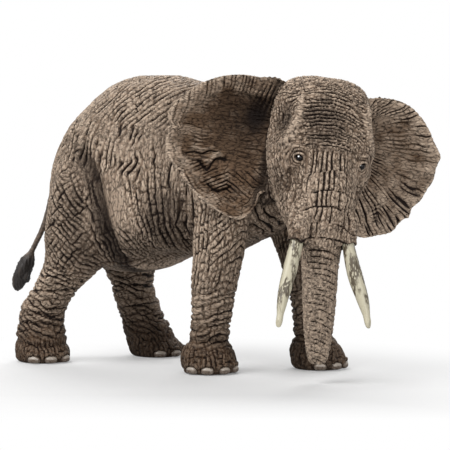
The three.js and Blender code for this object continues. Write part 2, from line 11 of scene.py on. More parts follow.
import bmesh
import bpy
import numpy as np
from mathutils import Matrix, Vector
from mathutils.bvhtree import BVHTree


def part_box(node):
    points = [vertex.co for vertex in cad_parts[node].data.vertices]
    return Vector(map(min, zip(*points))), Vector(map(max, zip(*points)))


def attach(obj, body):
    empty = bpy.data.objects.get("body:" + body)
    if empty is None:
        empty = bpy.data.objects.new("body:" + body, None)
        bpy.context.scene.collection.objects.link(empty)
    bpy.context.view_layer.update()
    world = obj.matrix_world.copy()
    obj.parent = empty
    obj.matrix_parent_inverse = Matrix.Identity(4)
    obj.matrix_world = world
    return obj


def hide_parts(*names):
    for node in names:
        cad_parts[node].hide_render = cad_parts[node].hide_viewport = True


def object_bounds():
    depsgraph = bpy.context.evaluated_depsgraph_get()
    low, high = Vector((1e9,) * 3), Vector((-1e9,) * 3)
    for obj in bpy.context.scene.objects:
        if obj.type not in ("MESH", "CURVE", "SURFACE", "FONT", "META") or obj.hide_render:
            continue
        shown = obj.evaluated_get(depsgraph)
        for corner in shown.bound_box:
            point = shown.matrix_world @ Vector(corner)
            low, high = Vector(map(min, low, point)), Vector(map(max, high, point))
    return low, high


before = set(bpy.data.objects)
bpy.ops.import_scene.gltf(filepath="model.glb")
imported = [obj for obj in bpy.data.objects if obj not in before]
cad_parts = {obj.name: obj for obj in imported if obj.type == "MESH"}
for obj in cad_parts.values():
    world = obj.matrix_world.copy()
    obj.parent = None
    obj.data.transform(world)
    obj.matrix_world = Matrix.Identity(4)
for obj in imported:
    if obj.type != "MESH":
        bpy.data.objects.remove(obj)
CAD_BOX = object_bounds()

bl_info = {
    "name": "Toy Elephant Dressing",
    "version": (1, 0, 0),
    "blender": (4, 5, 0),
    "location": "View3D > Sidebar > Toy Elephant",
    "description": "Carves and paints the solid vinyl elephant cow and sets its studio",
    "category": "Object",
}

MM = 0.001

# Where the torso starts and where its middle plane is, in millimetres of the packed frame.
TORSO_LOW, TORSO_HIGH = (np.array(corner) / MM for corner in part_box("torso"))
BODY_ORIGIN = np.array([TORSO_LOW[0], (TORSO_LOW[1] + TORSO_HIGH[1]) / 2, 0.0])

# How the head is held: the middle of the skull from the rump, its turn to the right and its roll.
SKULL_MIDDLE = np.array([93.0, -10.5, 61.3])
HEAD_TURN = math.radians(-43)
HEAD_ROLL = math.radians(-8)
HEAD_AXES = np.array((Matrix.Rotation(HEAD_TURN, 3, "Z") @ Matrix.Rotation(HEAD_ROLL, 3, "X")).transposed())

# How the ears are held on the head: root beside and behind the middle of the skull, sweep and lift.
EAR_ASIDE = 12.0
EAR_SETBACK = 4.0
EAR_SWEEP = math.radians(15)
EAR_LIFT = {"right_ear": math.radians(0.5), "left_ear": math.radians(-3.5)}
EAR_MIDDLE = 12                     # the middle of an ear, outward from its root
RIM_STEPS = 90                      # directions from there in which the rim is measured
EAR_FRONT = 0.35                    # how far a face of an ear has to look forward to be halved once more

EYES = ((10.7, -8.9, -0.7), (10.7, 8.9, -0.7))
EYE_RADIUS = 1.0
EYE_WRINKLES = (2.4, 3.3, 4.3, 5.4)     # the rings round an eye, from its middle
EYE_MESH_REACH = 4.5                # how far round an eye the skin's mesh is halved once more
# Where the painted glint on an eye looks.
GLINT_FACING = (0.13, -0.91, 0.39)
LEGS = ("rear_right_leg", "rear_left_leg", "front_right_leg", "front_left_leg")
HIDE_NODES = ("torso", "head") + LEGS

# Soles from the rump and the middle plane, widths across the sole, and toenails in degrees left of straight
# ahead.
FEET = {
    "rear_right_leg": ((2.4, -15.0), 16.6, (-75, -38, 0)),
    "rear_left_leg": ((23.36, 15.0), 16.6, (-50, -12, 26)),
    "front_right_leg": ((58.8, -12.5), 16.0, (-98, -62, -24, 14)),
    "front_left_leg": ((80.8, 12.5), 16.0, (-58, -20, 18, 56)),
}
NAIL_RADII = (1.3, 0.115, 1.2)      # through the nail, across it as a share of the sole, and up it
NAIL_LIFT = 1.25
NAIL_PROUD = 0.7                    # how far a nail stands out of the foot

# How much the plugs grow to fill their sockets, how much of a tusk's top is its plug, and how far out of an
# ear's root and ahead of the rump the others are cut.
PLUG_GROWTH = 0.45
TUSK_PLUG = 9.5
PLUG_CUT = 1.0
# Subdivisions of the ears, tusks and tail.
PIECE_LEVELS = 3

# The barrel of the body: its radius and the height of its middle.
BARREL_RADIUS = 22
BARREL_MIDDLE = 52

# Large folds seen from the side, forward and up from under the rump: path, width and height.
BODY_FOLDS = (
    (((20.5, 64), (23.5, 57), (26.5, 49), (29, 41), (31, 33)), 2.6, -1.3),
    (((28, 35), (31, 31.5), (36, 30), (47, 30.8), (54, 33)), 0.9, -0.9),
    (((30, 29.6), (36, 28.2), (47, 28.9), (54, 31)), 0.7, 0.7),
    (((54.5, 52), (54.5, 44), (53, 33)), 1.5, -1.0),
    (((6, 34), (12, 42), (19, 52)), 2.4, 0.5),
    (((12, 29), (18, 36), (23, 44)), 2.0, 0.6),
)
# Which of them are the valley behind the belly, the belly's edge and the fold behind the elbow.
VALLEY_FOLD = 0
BELLY_EDGE = 2
ELBOW_FOLD = 3
LEG_LEAD = 22.0                     # how far the left foreleg is ahead of the right one
# Soft lumps and patches of the body, seen from the side: middle and radii.
HAUNCH_LUMP = ((12, 52), (9, 12))
RUMP_LUMP = ((14, 69), (8, 6))
LOIN_HOLLOW = ((27, 66), (7, 6))
SMOOTH_FLANK = ((31, 49), (8, 15))
ROUGH_FLANK = ((47, 46), (11, 18))
# The patch behind the elbow takes painted shade.
BEHIND_ELBOW = ((49, 43), (12, 16))
# How much higher the back is than the moulding's: places forward, and heights there.
BACK_PLACES = (0, 8, 21, 32, 40, 46, 54)
BACK_HEIGHTS = (0.2, 1.0, 1.6, 1.1, 0.5, -0.3, -0.6)
# Folds round each leg: height above the floor, slant, depth and width.
LEG_FOLDS = {
    "rear_right_leg": (
        (5.8, 0.1, 0.9, 0.7), (8.6, 0.1, 0.35, 0.6), (11.7, 0.12, 0.7, 0.8), (14.7, 0.15, 0.6, 0.8),
        (18.2, 0.3, 0.5, 0.8), (21.8, 0.4, 0.4, 0.7), (25.0, 0.5, 0.4, 0.7)),
    "rear_left_leg": (
        (5.8, 0.05, 0.6, 0.8), (8.6, 0.1, 0.6, 0.7), (11.7, -0.05, 0.7, 0.8), (14.7, 0.15, 0.6, 0.8),
        (18.2, -0.1, 0.7, 0.8), (21.8, 0.1, 0.6, 0.8), (25.6, 0.0, 0.4, 0.7)),
    "front_right_leg": (
        (9.3, 0.0, 0.9, 0.9), (12.9, -0.2, 0.5, 0.7), (15.9, -0.35, 0.5, 0.7), (19.2, -0.35, 0.45, 0.7),
        (22.8, -0.35, 0.4, 0.7)),
    "front_left_leg": (
        (9.3, 0.0, 0.9, 0.9), (12.9, 0.1, 0.5, 0.7), (15.9, -0.1, 0.5, 0.7), (19.2, 0.1, 0.45, 0.7),
        (22.8, 0.0, 0.4, 0.7)),
}

# Folds across the trunk, above the middle of the skull; below them come plain rings down to its tip.
TRUNK_FOLDS = (3.0, -3.2, -8.2, -12.8, -17.3, -21.5, -24.9)
TRUNK_TIP = -64
# Lumps and hollows of the head, forward, aside and up from the middle of the skull: middle and radii.
TEMPLE_HOLLOW = ((3.4, 13.8, 8.6), (6.5, 5.5, 8))
CHEEK_BONE = ((5.5, 13, -3.5), (6, 5, 5))
CHEEK_HOLLOW = ((10.5, 10, -9.0), (5, 3.5, 6.5))
# The ridge round the temple, aside and up, and the hollow from under the eye down the cheek, forward and up.
BROW_PATH = ((8.6, 18), (9.3, 15), (9.9, 9.4), (12, 3.6), (13.9, 0))
CHEEK_PATH = ((9.6, -3.5), (8.2, -6.6), (6.4, -11))
TUSK_LEAN = (-0.4, -1.5, 0.0)       # how far the left cheek and tusk lean in

# Notches and lobes of an ear's edge: degrees round from outward, and how far the edge moves out there.
EAR_EDGES = {
    "right_ear": (
        (-165, -140, -128, -118, -105, -40, -35, -30, 4, 9, 12.5, 16, 24, 40, 105, 117, 127, 140),
        (-1.5, -3.8, -3.4, -1.2, 0, 0.1, -0.6, 0.2, 0.0, 0.5, -1.1, 0.4, 0.6, 0, 0, 1.5, 1.2, 0)),
    "left_ear": (
        (-105, -87, -78, -68, -57, -50, -42, -34, -18, -8, 4, 24, 34, 45, 60, 85),
        (0, 0.6, 1.1, 1.2, 0.3, 0.9, 0.3, 0.0, -0.5, 0.3, 1.0, 1.1, 0.0, -0.8, -0.8, 0)),
}
# Pockets in the lower half of the right ear, and the lips round them: path and width.
EAR_POCKETS = (
    (((26, -2.6), (23.5, -3.4), (21.5, -2.6), (19.3, -3.2), (17.4, -1.6), (15.2, -2.2), (13.6, -0.9)), 0.26),
    (((20.6, -4.8), (19.6, -5.7), (17.7, -6.9), (16.0, -5.2), (13.7, -3.7), (11.9, -2.4)), 0.4),
    (((18.2, -9.8), (17.2, -10.7), (15.3, -12.0), (13.3, -12.6), (11.5, -11.5), (9.7, -9.9)), 0.32),
)
EAR_LIPS = (
    (((23.5, -2.4), (21.5, -1.6), (19.3, -2.2), (17.4, -0.6), (15.2, -1.2)), 0.5),
    (((19, -3.9), (17.3, -5.0), (15.8, -3.6), (13.6, -2.2)), 0.9),
    (((17.8, -8.8), (15.5, -10.2), (13.3, -11.0), (11.5, -9.9)), 0.9),
)

# Sizes of the patterns in the paint. Real grains are finer than these, which are as coarse as they need to
# be to show.
BEND_SIZE = 2.0
BEND_REACH = 0.9                    # how far the bends pull the fine creases
SPECKLE_SIZE = 1 / 1.1
GRAIN_SIZE = 0.25
CLOUD_SIZE = 1 / 0.9
NAIL_SPECKLE_SIZE = 1 / 1.5

# The middle of the shadow on the floor, in metres, and the way from it towards the front of the picture.
FLOOR_SHADOW = (0.01, -0.03, 0.0)
FLOOR_AHEAD = (0.515, -0.857, 0.0)
# Where the floor turns white round that middle, and where straight ahead of it: first and last distance.
WHITE_ROUND = (0.045, 0.12)
WHITE_AHEAD = (0.026, 0.07)


# Settings

def linear(code):
    """A colour written as sRGB hex, in Blender's linear values."""
    shares = [int(code[i:i + 2], 16) / 255 for i in (1, 3, 5)]
    return tuple(s / 12.92 if s <= 0.04045 else ((s + 0.055) / 1.055) ** 2.4 for s in shares)


def colour(name, description, code):
    return bpy.props.FloatVectorProperty(
        name=name, description=description, default=linear(code), size=3, min=0, max=1, subtype="COLOR")


def length(name, description, millimetres):
    return bpy.props.FloatProperty(
        name=name, description=description, default=millimetres * MM, min=0, precision=5,
        subtype="DISTANCE", unit="LENGTH")


def share(name, description, value):
    return bpy.props.FloatProperty(name=name, description=description, default=value, min=0, soft_max=2)


class HideSettings(bpy.types.PropertyGroup):
    """Sizes of the carved skin."""

    grain: length("Grain", "Mesh size of the soft body before it is subdivided", 0.8)
    softening: bpy.props.IntProperty(
        name="Softening", description="Rounds of smoothing over the joints and facets", default=8, min=0)
    part_blend: bpy.props.IntProperty(
        name="Part blend", description="Rounds that spread each moulding's pattern over its neighbours",
        default=14, min=0)
    form_depth: share("Form depth", "Strength of the large muscles, hollows and folds", 1.0)
    crease_depth: share("Crease depth", "Strength of the creases", 1.0)


class PaintSettings(bpy.types.PropertyGroup):
    """Colours of the hand painting."""

    hide: colour("Hide", "Grey-brown vinyl of the skin", "#877260")
    ridge: colour("Ridge", "Dry-brushed high places", "#CDB8A3")
    wash: colour("Wash", "Dark brown wash in the creases", "#160D09")
    shadow: colour("Shadow", "Dark grey-brown of the sheltered places", "#1F150F")
    foot: colour("Foot", "Olive-brown feet", "#432F1E")
    nail: colour("Nail", "Pale toenails", "#A89E92")
    ear: colour("Ear", "Inner face of the ears", "#6A5441")
    # The ear pit colour is partly the ears' own dark paint and partly painted shade under the rolled top edge
    # and along the root.
    ear_pit_wash_and_shade: colour("Ear pit", "Dark brown hollow of the ears", "#0E0603")
    ivory: colour("Ivory", "Cream tusks", "#B8B19A")
    # The ivory wash also lays painted shadow over the roots of the tusks.
    ivory_wash: colour("Ivory wash", "Olive-brown wash along the tusks", "#382914")
    tail: colour("Tail", "Cord of the tail", "#6B5B4D")
    tuft: colour("Tuft", "Near-black tuft of the tail", "#1E1713")
    eye: colour("Eye", "Glossy black eyes", "#0B0807")


class StageSettings(bpy.types.PropertyGroup):
    """Camera, lights and floor."""

    distance: length("Camera distance", "Camera to the middle of the view", 600.0)
    azimuth: bpy.props.FloatProperty(
        name="Azimuth", description="Turn of the camera round the figure, from its right side",
        default=math.radians(31), subtype="ANGLE", unit="ROTATION")
    elevation: bpy.props.FloatProperty(
        name="Elevation", description="Height of the camera above the horizon",
        default=math.radians(3), subtype="ANGLE", unit="ROTATION")
    focal: bpy.props.FloatProperty(
        name="Focal length", description="Lens, on a 36 mm sensor", default=163.2, unit="CAMERA")
    target: bpy.props.FloatVectorProperty(
        name="Target", description="Middle of the view", default=(0.00306, 0.01434, 0.0411),
        size=3, subtype="XYZ", unit="LENGTH")
    floor: colour("Floor", "Pale studio floor", "#C4C4C4")
    floor_glow: share("Floor glow", "How far the floor is lifted for the camera", 0.15)
    key: share("Key lamp", "Watts of the softbox above and to the left", 5.2)
    back: share("Back lamp", "Watts of the softbox behind and above", 5.0)
    fill: share("Fill lamp", "Watts of the softbox beside the camera", 2.0)
    sky: share("Room light", "Strength of the white room", 0.2)


SETTINGS = {"elephant_hide": HideSettings, "elephant_paint": PaintSettings, "elephant_stage": StageSettings}


# Patterns, in millimetres

CORNERS = np.array([(x, y, z) for x in (0, 1) for y in (0, 1) for z in (0, 1)])
AROUND = np.array([(x, y, z) for x in (-1, 0, 1) for y in (-1, 0, 1) for z in (-1, 0, 1)])

# Odd numbers and shifts that mix the places and the seed into steady random numbers.
PLACE_FACTORS = np.array((73856093, 19349663, 83492791), np.uint32)
SEED_FACTOR = 2654435761
MIXING = ((15, 2246822519), (13, 3266489917))
WORD = 2 ** 32
TEN_BITS = 1023
STAGGER = 9.0       # how far each row's cross creases are shifted at random, in runs


def fade(low, high, value):
    """0 below low, 1 above high and a soft step between."""
    t = np.clip((value - low) / (high - low), 0, 1)
    return t * t * (3 - 2 * t)


def scatter(corners, seed):
    """Steady pseudo-random whole numbers for whole-number points."""
    key = corners.astype(np.int64).astype(np.uint32) * PLACE_FACTORS
    mixed = key[:, 0] ^ key[:, 1] ^ key[:, 2] ^ np.uint32(seed * SEED_FACTOR % WORD)
    for shift, factor in MIXING:
        mixed ^= mixed >> np.uint32(shift)
        mixed *= np.uint32(factor)
    return mixed ^ (mixed >> np.uint32(16))


def drift(points, size, seed):
    """Soft random hills and hollows from -1 to 1, about that many millimetres across."""
    spots = points / size
    base = np.floor(spots)
    part = spots - base
    part = part * part * (3 - 2 * part)
    total = np.zeros(len(points))
    for corner in CORNERS:
        weight = np.prod(np.where(corner, part, 1 - part), axis=1)
        total += weight * scatter(base + corner, seed) / WORD
    return 2 * total - 1


def wander(points, reach, size, seed):
    """The points moved about by up to that reach, in drifts of that size."""
    return points + reach * np.stack([drift(points, size, seed + axis) for axis in range(3)], axis=1)


def borders(points, seed):
    """How far each point is from a border between random cells about one unit across."""
    base = np.floor(points)
    nearest = np.full(len(points), 9.0)
    second = np.full(len(points), 9.0)
    for offset in AROUND:
        mixed = scatter(base + offset, seed)
        shares = [(mixed >> np.uint32(bits)) & np.uint32(TEN_BITS) for bits in (0, 10, 20)]
        jitter = np.stack(shares, axis=1) / TEN_BITS
        away = np.linalg.norm(base + offset + jitter - points, axis=1)
        second = np.minimum(second, np.maximum(nearest, away))
        nearest = np.minimum(nearest, away)
    return second - nearest


def creases(points, sizes, seed, width=0.3, reach=0.5, size=4.0):
    """Creases between random cells of those sizes in millimetres: 1 along a crease, 0 on the cells."""
    return 1 - fade(0, width, borders(wander(points, reach, size, seed) / np.array(sizes), seed))


def weave(points, rows, gap, along, run, seed, reach=5.0, wave=0.45, width=0.3, long=1.0, ties=0.8,
          gaps=0.35, bars=1.0):
    """Long wavy creases tied by short cross creases, as between rows of bricks: 1 in a crease, 0 beside it.

    Rows counts the long creases, which are a gap apart, and along is the place beside them, with a cross
    crease every run. The long ones swing by that wave, in rows, over that reach. Long and ties are how strong
    the two kinds are, gaps is the share of cross creases left out, and bars how much wider they are than the
    long ones."""
    width = width * (1 + 0.45 * drift(points, reach / 2, seed + 6))
    rows = rows + wave * drift(points, reach, seed) + 0.4 * wave * drift(points, reach / 3, seed + 1)
    line = np.round(rows)
    flat = np.zeros_like(line)
    depth = drift(np.stack([3.7 * line, along / run / 2, 1.3 * line], axis=1), 1.0, seed + 2)
    lines = np.exp(-((rows - line) * gap / width) ** 2) * (0.25 + 0.75 * fade(-0.5, 0.3, depth)) * long
    cell = np.stack([np.floor(rows), flat, flat], axis=1)
    step = along / run + STAGGER * scatter(cell, seed + 3) / WORD
    step = step + 0.3 * drift(points, reach / 2, seed + 4)
    cell[:, 1] = np.round(step)
    kept = np.clip(1.7 * scatter(cell, seed + 5) / WORD - 1.7 * gaps + 0.3, 0, 1)
    return np.maximum(lines, np.exp(-((step - cell[:, 1]) * run / (bars * width)) ** 2) * kept * ties)


def lattice(points, first, second, gaps, seed, width=0.3, wave=0.4):
    """Two sets of creases that cross, and leave diamonds."""
    return np.maximum(
        weave(points, first / gaps[0], gaps[0], second, 2.2, seed, 4.0, wave, width, ties=0.3),
        weave(points, second / gaps[1], gaps[1], first, 2.2, seed + 9, 4.0, wave, width, ties=0.0))


def groove(flat, path, width):
    """A line along a path: 1 on it, fading to 0 over that width and towards both ends."""
    path = np.array(path, float)
    steps = np.linalg.norm(np.diff(path, axis=0), axis=1)
    whole = steps.sum()
    nearest = np.full(len(flat), np.inf)
    place = np.zeros(len(flat))
    run = 0.0
    for start, end, step in zip(path, path[1:], steps):
        t = np.clip((flat - start) @ (end - start) / step ** 2, 0, 1)
        away = np.linalg.norm(flat - start - t[:, None] * (end - start), axis=1)
        closer = away < nearest
        nearest[closer] = away[closer]
        place[closer] = (run + t[closer] * step) / whole
        run += step
    ends = fade(0, 0.2, place) * fade(0, 0.2, 1 - place)
    return np.exp(-(nearest / width) ** 2) * ends


def bulge(points, middle, radii):
    """A soft lump: 1 in its middle, 0 from its radii outwards."""
    away = np.linalg.norm((points - np.array(middle)) / np.array(radii), axis=1)
    return 1 - fade(0, 1, away)


# Mesh helpers

def hold(piece):
    """Makes a piece the only selected one and the active one."""
    if bpy.context.object and bpy.context.object.mode != "OBJECT":
        bpy.ops.object.mode_set(mode="OBJECT")
    bpy.ops.object.select_all(action="DESELECT")
    piece.select_set(True)
    bpy.context.view_layer.objects.active = piece
    return piece


def places(mesh):
    """A mesh's points in millimetres."""
    found = np.empty(len(mesh.vertices) * 3)
    mesh.vertices.foreach_get("co", found)
    return found.reshape(-1, 3) / MM


def facings(mesh):
    """The outward direction at each of a mesh's points."""
    found = np.empty(len(mesh.vertices) * 3)
    mesh.vertices.foreach_get("normal", found)
    return found.reshape(-1, 3)


def move_to(mesh, points):
    """Moves a mesh's points, none of them out of the packed part's own box."""
    points = np.clip(points, *(np.array(corner) / MM for corner in CAD_BOX))
    mesh.vertices.foreach_set("co", (points * MM).ravel())
    mesh.update()


def paint(mesh, name, values):
    """Keeps a number from 0 to 1 for each point, for the paint to read."""
    layer = mesh.attributes.get(name) or mesh.attributes.new(name, "FLOAT", "POINT")
    layer.data.foreach_set("value", np.clip(values, 0, 1).astype(np.float32))


def painted(mesh, name):
    values = np.empty(len(mesh.vertices), np.float32)
    mesh.attributes[name].data.foreach_get("value", values)
    return values.astype(float)


def copy_of(node, name):
    """A copy of a packed node, with its doubles merged."""
    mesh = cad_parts[node].data.copy()
    mesh.materials.clear()
    piece = bpy.data.objects.new(name, mesh)
    bpy.context.scene.collection.objects.link(piece)
    hold(piece)
    bpy.ops.object.mode_set(mode="EDIT")
    bpy.ops.mesh.select_all(action="SELECT")
    bpy.ops.mesh.remove_doubles(threshold=1e-6)
    bpy.ops.object.mode_set(mode="OBJECT")
    if piece.data.has_custom_normals:
        bpy.ops.mesh.customdata_custom_splitnormals_clear()
    return piece


def finish_modifier(piece, kind, **settings):
    """Adds a modifier with its settings and applies it."""
    hold(piece)
    modifier = piece.modifiers.new(kind.title(), kind)
    for name, value in settings.items():
        setattr(modifier, name, value)
    bpy.ops.object.modifier_apply(modifier=modifier.name)


def tree_of(node):
    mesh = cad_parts[node].data
    return BVHTree.FromPolygons([v.co for v in mesh.vertices], [p.vertices for p in mesh.polygons])


def plug_of(node, cut, direction):
    """The part of a node behind a cut, in millimetres, grown until it fills its socket."""
    plug = copy_of(node, node + "_plug")
    hold(plug)
    bpy.ops.object.mode_set(mode="EDIT")
    bpy.ops.mesh.select_all(action="SELECT")
    bpy.ops.mesh.bisect(
        plane_co=Vector(cut) * MM, plane_no=Vector(direction), use_fill=True, clear_outer=True)
    bpy.ops.object.mode_set(mode="OBJECT")
    finish_modifier(plug, "DISPLACE", strength=PLUG_GROWTH * MM, mid_level=0.0)
    return plug


def finished(piece, node, material):
    """Puts the paint on a finished piece and lets it ride for its node."""
    piece.data.materials.clear()
    piece.data.materials.append(material)
    piece.data.shade_smooth()
    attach(piece, "root")
    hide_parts(node)


# Materials

def add_node(material, kind, inputs=None, output=0, **settings):
    """Adds a node with its settings, and gives one of its outputs.

    Each input is a plain value, or the output of another node that is linked into it."""
    tree = material.node_tree
    node = tree.nodes.new(kind)
    for name, value in settings.items():
        setattr(node, name, value)
    for socket, value in (inputs or {}).items():
        if isinstance(value, bpy.types.NodeSocket):
            tree.links.new(value, node.inputs[socket])
        else:
            node.inputs[socket].default_value = value
    return node.outputs[output] if node.outputs else None


def new_material(name):
    material = bpy.data.materials.new(name)
    material.use_nodes = True
    material.node_tree.nodes.clear()
    return material


def rgba(value):
    return (*value, 1.0)


def coats(material, base, layers):
    """The colour of a base under coats of paint: for each coat, how much it covers and its colour."""
    coat = rgba(base)
    for cover, paint_colour in layers:
        coat = add_node(
            material, "ShaderNodeMix", {"Factor": cover, 6: coat, 7: rgba(paint_colour)}, output=2,
            data_type="RGBA")
    return coat


def fine_creases(material, place, cells, width):
    """Fine creases between random cells of those sizes in millimetres, 1 along a crease."""
    stretch = tuple(1 / (size * MM) for size in cells)
    bent = add_node(material, "ShaderNodeMapping", {"Vector": place, "Scale": stretch})
    edges = add_node(
        material, "ShaderNodeTexVoronoi", {"Vector": bent, "Scale": 1.0}, feature="DISTANCE_TO_EDGE")
    return add_node(material, "ShaderNodeMapRange", {
        "Value": edges, "From Min": 0.0, "From Max": width, "To Min": 1.0, "To Max": 0.0}, clamp=True)


def hide_material(paint_settings, ear=False):
    """Soft PVC moulding, sprayed grey-brown, washed with dark brown that stays in the creases and dry-brushed
    on the ridges, with painted shade in the sheltered places and some painted highlights in the dry brush:
    matt, with a faint waxy gleam on the high places."""
    material = new_material("washed_ear_vinyl" if ear else "washed_hide_vinyl")
    object_place = add_node(material, "ShaderNodeTexCoord", output="Object")
    wash, ridge, shade, foot, lay = (
        add_node(material, "ShaderNodeAttribute", output="Fac", attribute_name=name)
        for name in ("wash", "ridge", "shade", "foot", "lay"))
    # The fine creases bend with a soft noise, and so do the speckles of the brush and the grains of paint.
    drifts = add_node(
        material, "ShaderNodeTexNoise",
        {"Vector": object_place, "Scale": 1 / (BEND_SIZE * MM), "Detail": 1.0}, output="Color")
    pulled = add_node(
        material, "ShaderNodeVectorMath", {0: drifts, 1: (BEND_REACH * MM,) * 3}, operation="MULTIPLY")
    place = add_node(material, "ShaderNodeVectorMath", {0: object_place, 1: pulled}, operation="ADD")
    upright = fine_creases(material, place, (0.85, 0.85, 2.2), 0.2)
    level = fine_creases(material, place, (2.0, 2.0, 0.8), 0.2)
    speckle = add_node(material, "ShaderNodeTexNoise", {
        "Vector": place, "Scale": 1 / (SPECKLE_SIZE * MM), "Detail": 3.0})
    grain = add_node(material, "ShaderNodeTexNoise", {
        "Vector": place, "Scale": 1 / (GRAIN_SIZE * MM), "Detail": 2.0})
    # Where the lay is 1 the fine creases are upright, where it is 0 they are level, and between they cross.
    twice = add_node(material, "ShaderNodeMath", {0: lay, 1: 2.0}, operation="MULTIPLY")
    some = add_node(material, "ShaderNodeMath", {0: twice, 1: 1.0}, operation="MINIMUM")
    rest = add_node(material, "ShaderNodeMath", {0: 2.0, 1: twice}, operation="SUBTRACT", use_clamp=True)
    upright = add_node(material, "ShaderNodeMath", {0: upright, 1: some}, operation="MULTIPLY")
    level = add_node(material, "ShaderNodeMath", {0: level, 1: rest}, operation="MULTIPLY")
    both = add_node(material, "ShaderNodeMath", {0: upright, 1: level}, operation="MAXIMUM")
    strength = add_node(material, "ShaderNodeMapRange", {
        "Value": speckle, "From Min": 0.36, "From Max": 0.58, "To Min": 0.0, "To Max": 0.8}, clamp=True)
    fine = add_node(material, "ShaderNodeMath", {0: both, 1: strength}, operation="MULTIPLY")
    # The wash dries as ragged lines in the bottoms of the creases, with a soft stain round them.
    rough = add_node(material, "ShaderNodeMath", {0: speckle, 1: 0.5}, operation="MULTIPLY")
    ragged = add_node(material, "ShaderNodeMath", {0: wash, 1: rough}, operation="ADD")
    line = add_node(material, "ShaderNodeMapRange", {
        "Value": ragged, "From Min": 0.72, "From Max": 1.1, "To Min": 0.0, "To Max": 0.8}, clamp=True)
    lines = add_node(material, "ShaderNodeMath", {0: line, 1: fine}, operation="MAXIMUM")
    stain = add_node(material, "ShaderNodeMath", {0: wash, 1: 0.25}, operation="MULTIPLY")
    all_wash = add_node(
        material, "ShaderNodeMath", {0: stain, 1: lines}, operation="ADD", use_clamp=True)
    clouds = add_node(
        material, "ShaderNodeMath", {0: speckle, 1: 0.3 if ear else 0.45}, operation="MULTIPLY")
    taken = add_node(material, "ShaderNodeMath", {0: speckle, 1: 0.35}, operation="ADD")
    brushed = add_node(
        material, "ShaderNodeMath", {0: ridge, 1: taken}, operation="MULTIPLY", use_clamp=True)
    # The shade coat is painted shade, in the ear pit colour on the ears; the dry brush holds some painted
    # highlights.
    painted_skin = coats(material, paint_settings.ear if ear else paint_settings.hide, (
        (clouds, paint_settings.wash),
        (foot, paint_settings.foot),
        (shade, paint_settings.ear_pit_wash_and_shade if ear else paint_settings.shadow),
        (brushed, paint_settings.ridge),
        (all_wash, paint_settings.wash)))
    grains = add_node(material, "ShaderNodeMath", {0: grain, 1: 0.3}, operation="MULTIPLY")
    relief = add_node(material, "ShaderNodeMath", {0: grains, 1: lines}, operation="SUBTRACT")
    bump = add_node(material, "ShaderNodeBump", {"Height": relief, "Strength": 1.0, "Distance": 0.3 * MM})
    surface = add_node(material, "ShaderNodeBsdfPrincipled", {
        "Base Color": painted_skin, "Normal": bump, "Roughness": 0.65, "IOR": 1.5,
        "Specular IOR Level": 0.12})
    add_node(material, "ShaderNodeOutputMaterial", {"Surface": surface})
    return material


def ivory_material(paint_settings):
    """Cream acrylic on vinyl, satin, with an olive-brown wash rubbed along the grain and laid over the root
    as painted shadow.
    """
    material = new_material("washed_ivory_vinyl")
    place = add_node(material, "ShaderNodeTexCoord", output="Object")
    wash = add_node(material, "ShaderNodeAttribute", output="Fac", attribute_name="wash")
    grain = add_node(material, "ShaderNodeTexNoise", {
        "Vector": place, "Scale": 1 / (CLOUD_SIZE * MM), "Detail": 4.0})
    rough = add_node(material, "ShaderNodeMath", {0: grain, 1: 0.8}, operation="MULTIPLY")
    ragged = add_node(material, "ShaderNodeMath", {0: wash, 1: rough}, operation="ADD")
    stain = add_node(material, "ShaderNodeMapRange", {
        "Value": ragged, "From Min": 0.6, "From Max": 1.0, "To Min": 0.0, "To Max": 0.9}, clamp=True)
    cream = coats(material, paint_settings.ivory, ((stain, paint_settings.ivory_wash),))
    bump = add_node(material, "ShaderNodeBump", {"Height": grain, "Strength": 0.3, "Distance": 0.1 * MM})
    surface = add_node(material, "ShaderNodeBsdfPrincipled", {
        "Base Color": cream, "Normal": bump, "Roughness": 0.42, "IOR": 1.5})
    add_node(material, "ShaderNodeOutputMaterial", {"Surface": surface})
    return material


def tail_material(paint_settings):
    """Vinyl cord in hide paint that runs into a near-black tuft with brushed hairs: matt all along."""
    material = new_material("washed_tail_vinyl")
    tuft = add_node(material, "ShaderNodeAttribute", output="Fac", attribute_name="tuft")
    wash = add_node(material, "ShaderNodeAttribute", output="Fac", attribute_name="wash")
    cord = coats(material, paint_settings.tail, ((tuft, paint_settings.tuft), (wash, paint_settings.wash)))
    surface = add_node(
        material, "ShaderNodeBsdfPrincipled", {"Base Color": cord, "Roughness": 0.6, "IOR": 1.5})
    add_node(material, "ShaderNodeOutputMaterial", {"Surface": surface})
    return material


def nail_material(paint_settings):
    """Pale horn acrylic on vinyl, satin, with the wash left round its edge and between its growth ridges, and
    a pale crescent at the top kept as a painted highlight.
    """
    material = new_material("washed_nail_paint")
    place = add_node(material, "ShaderNodeTexCoord", output="Object")
    wash = add_node(material, "ShaderNodeAttribute", output="Fac", attribute_name="wash")
    speckle = add_node(material, "ShaderNodeTexNoise", {
        "Vector": place, "Scale": 1 / (NAIL_SPECKLE_SIZE * MM), "Detail": 3.0})
    taken = add_node(material, "ShaderNodeMath", {0: speckle, 1: 0.4}, operation="ADD")
    stained = add_node(
        material, "ShaderNodeMath", {0: wash, 1: taken}, operation="MULTIPLY", use_clamp=True)
    horn = coats(material, paint_settings.nail, ((stained, paint_settings.foot),))
    bump = add_node(material, "ShaderNodeBump", {"Height": speckle, "Strength": 0.3, "Distance": 0.08 * MM})
    surface = add_node(material, "ShaderNodeBsdfPrincipled", {
        "Base Color": horn, "Normal": bump, "Roughness": 0.35, "IOR": 1.5})
    add_node(material, "ShaderNodeOutputMaterial", {"Surface": surface})
    return material


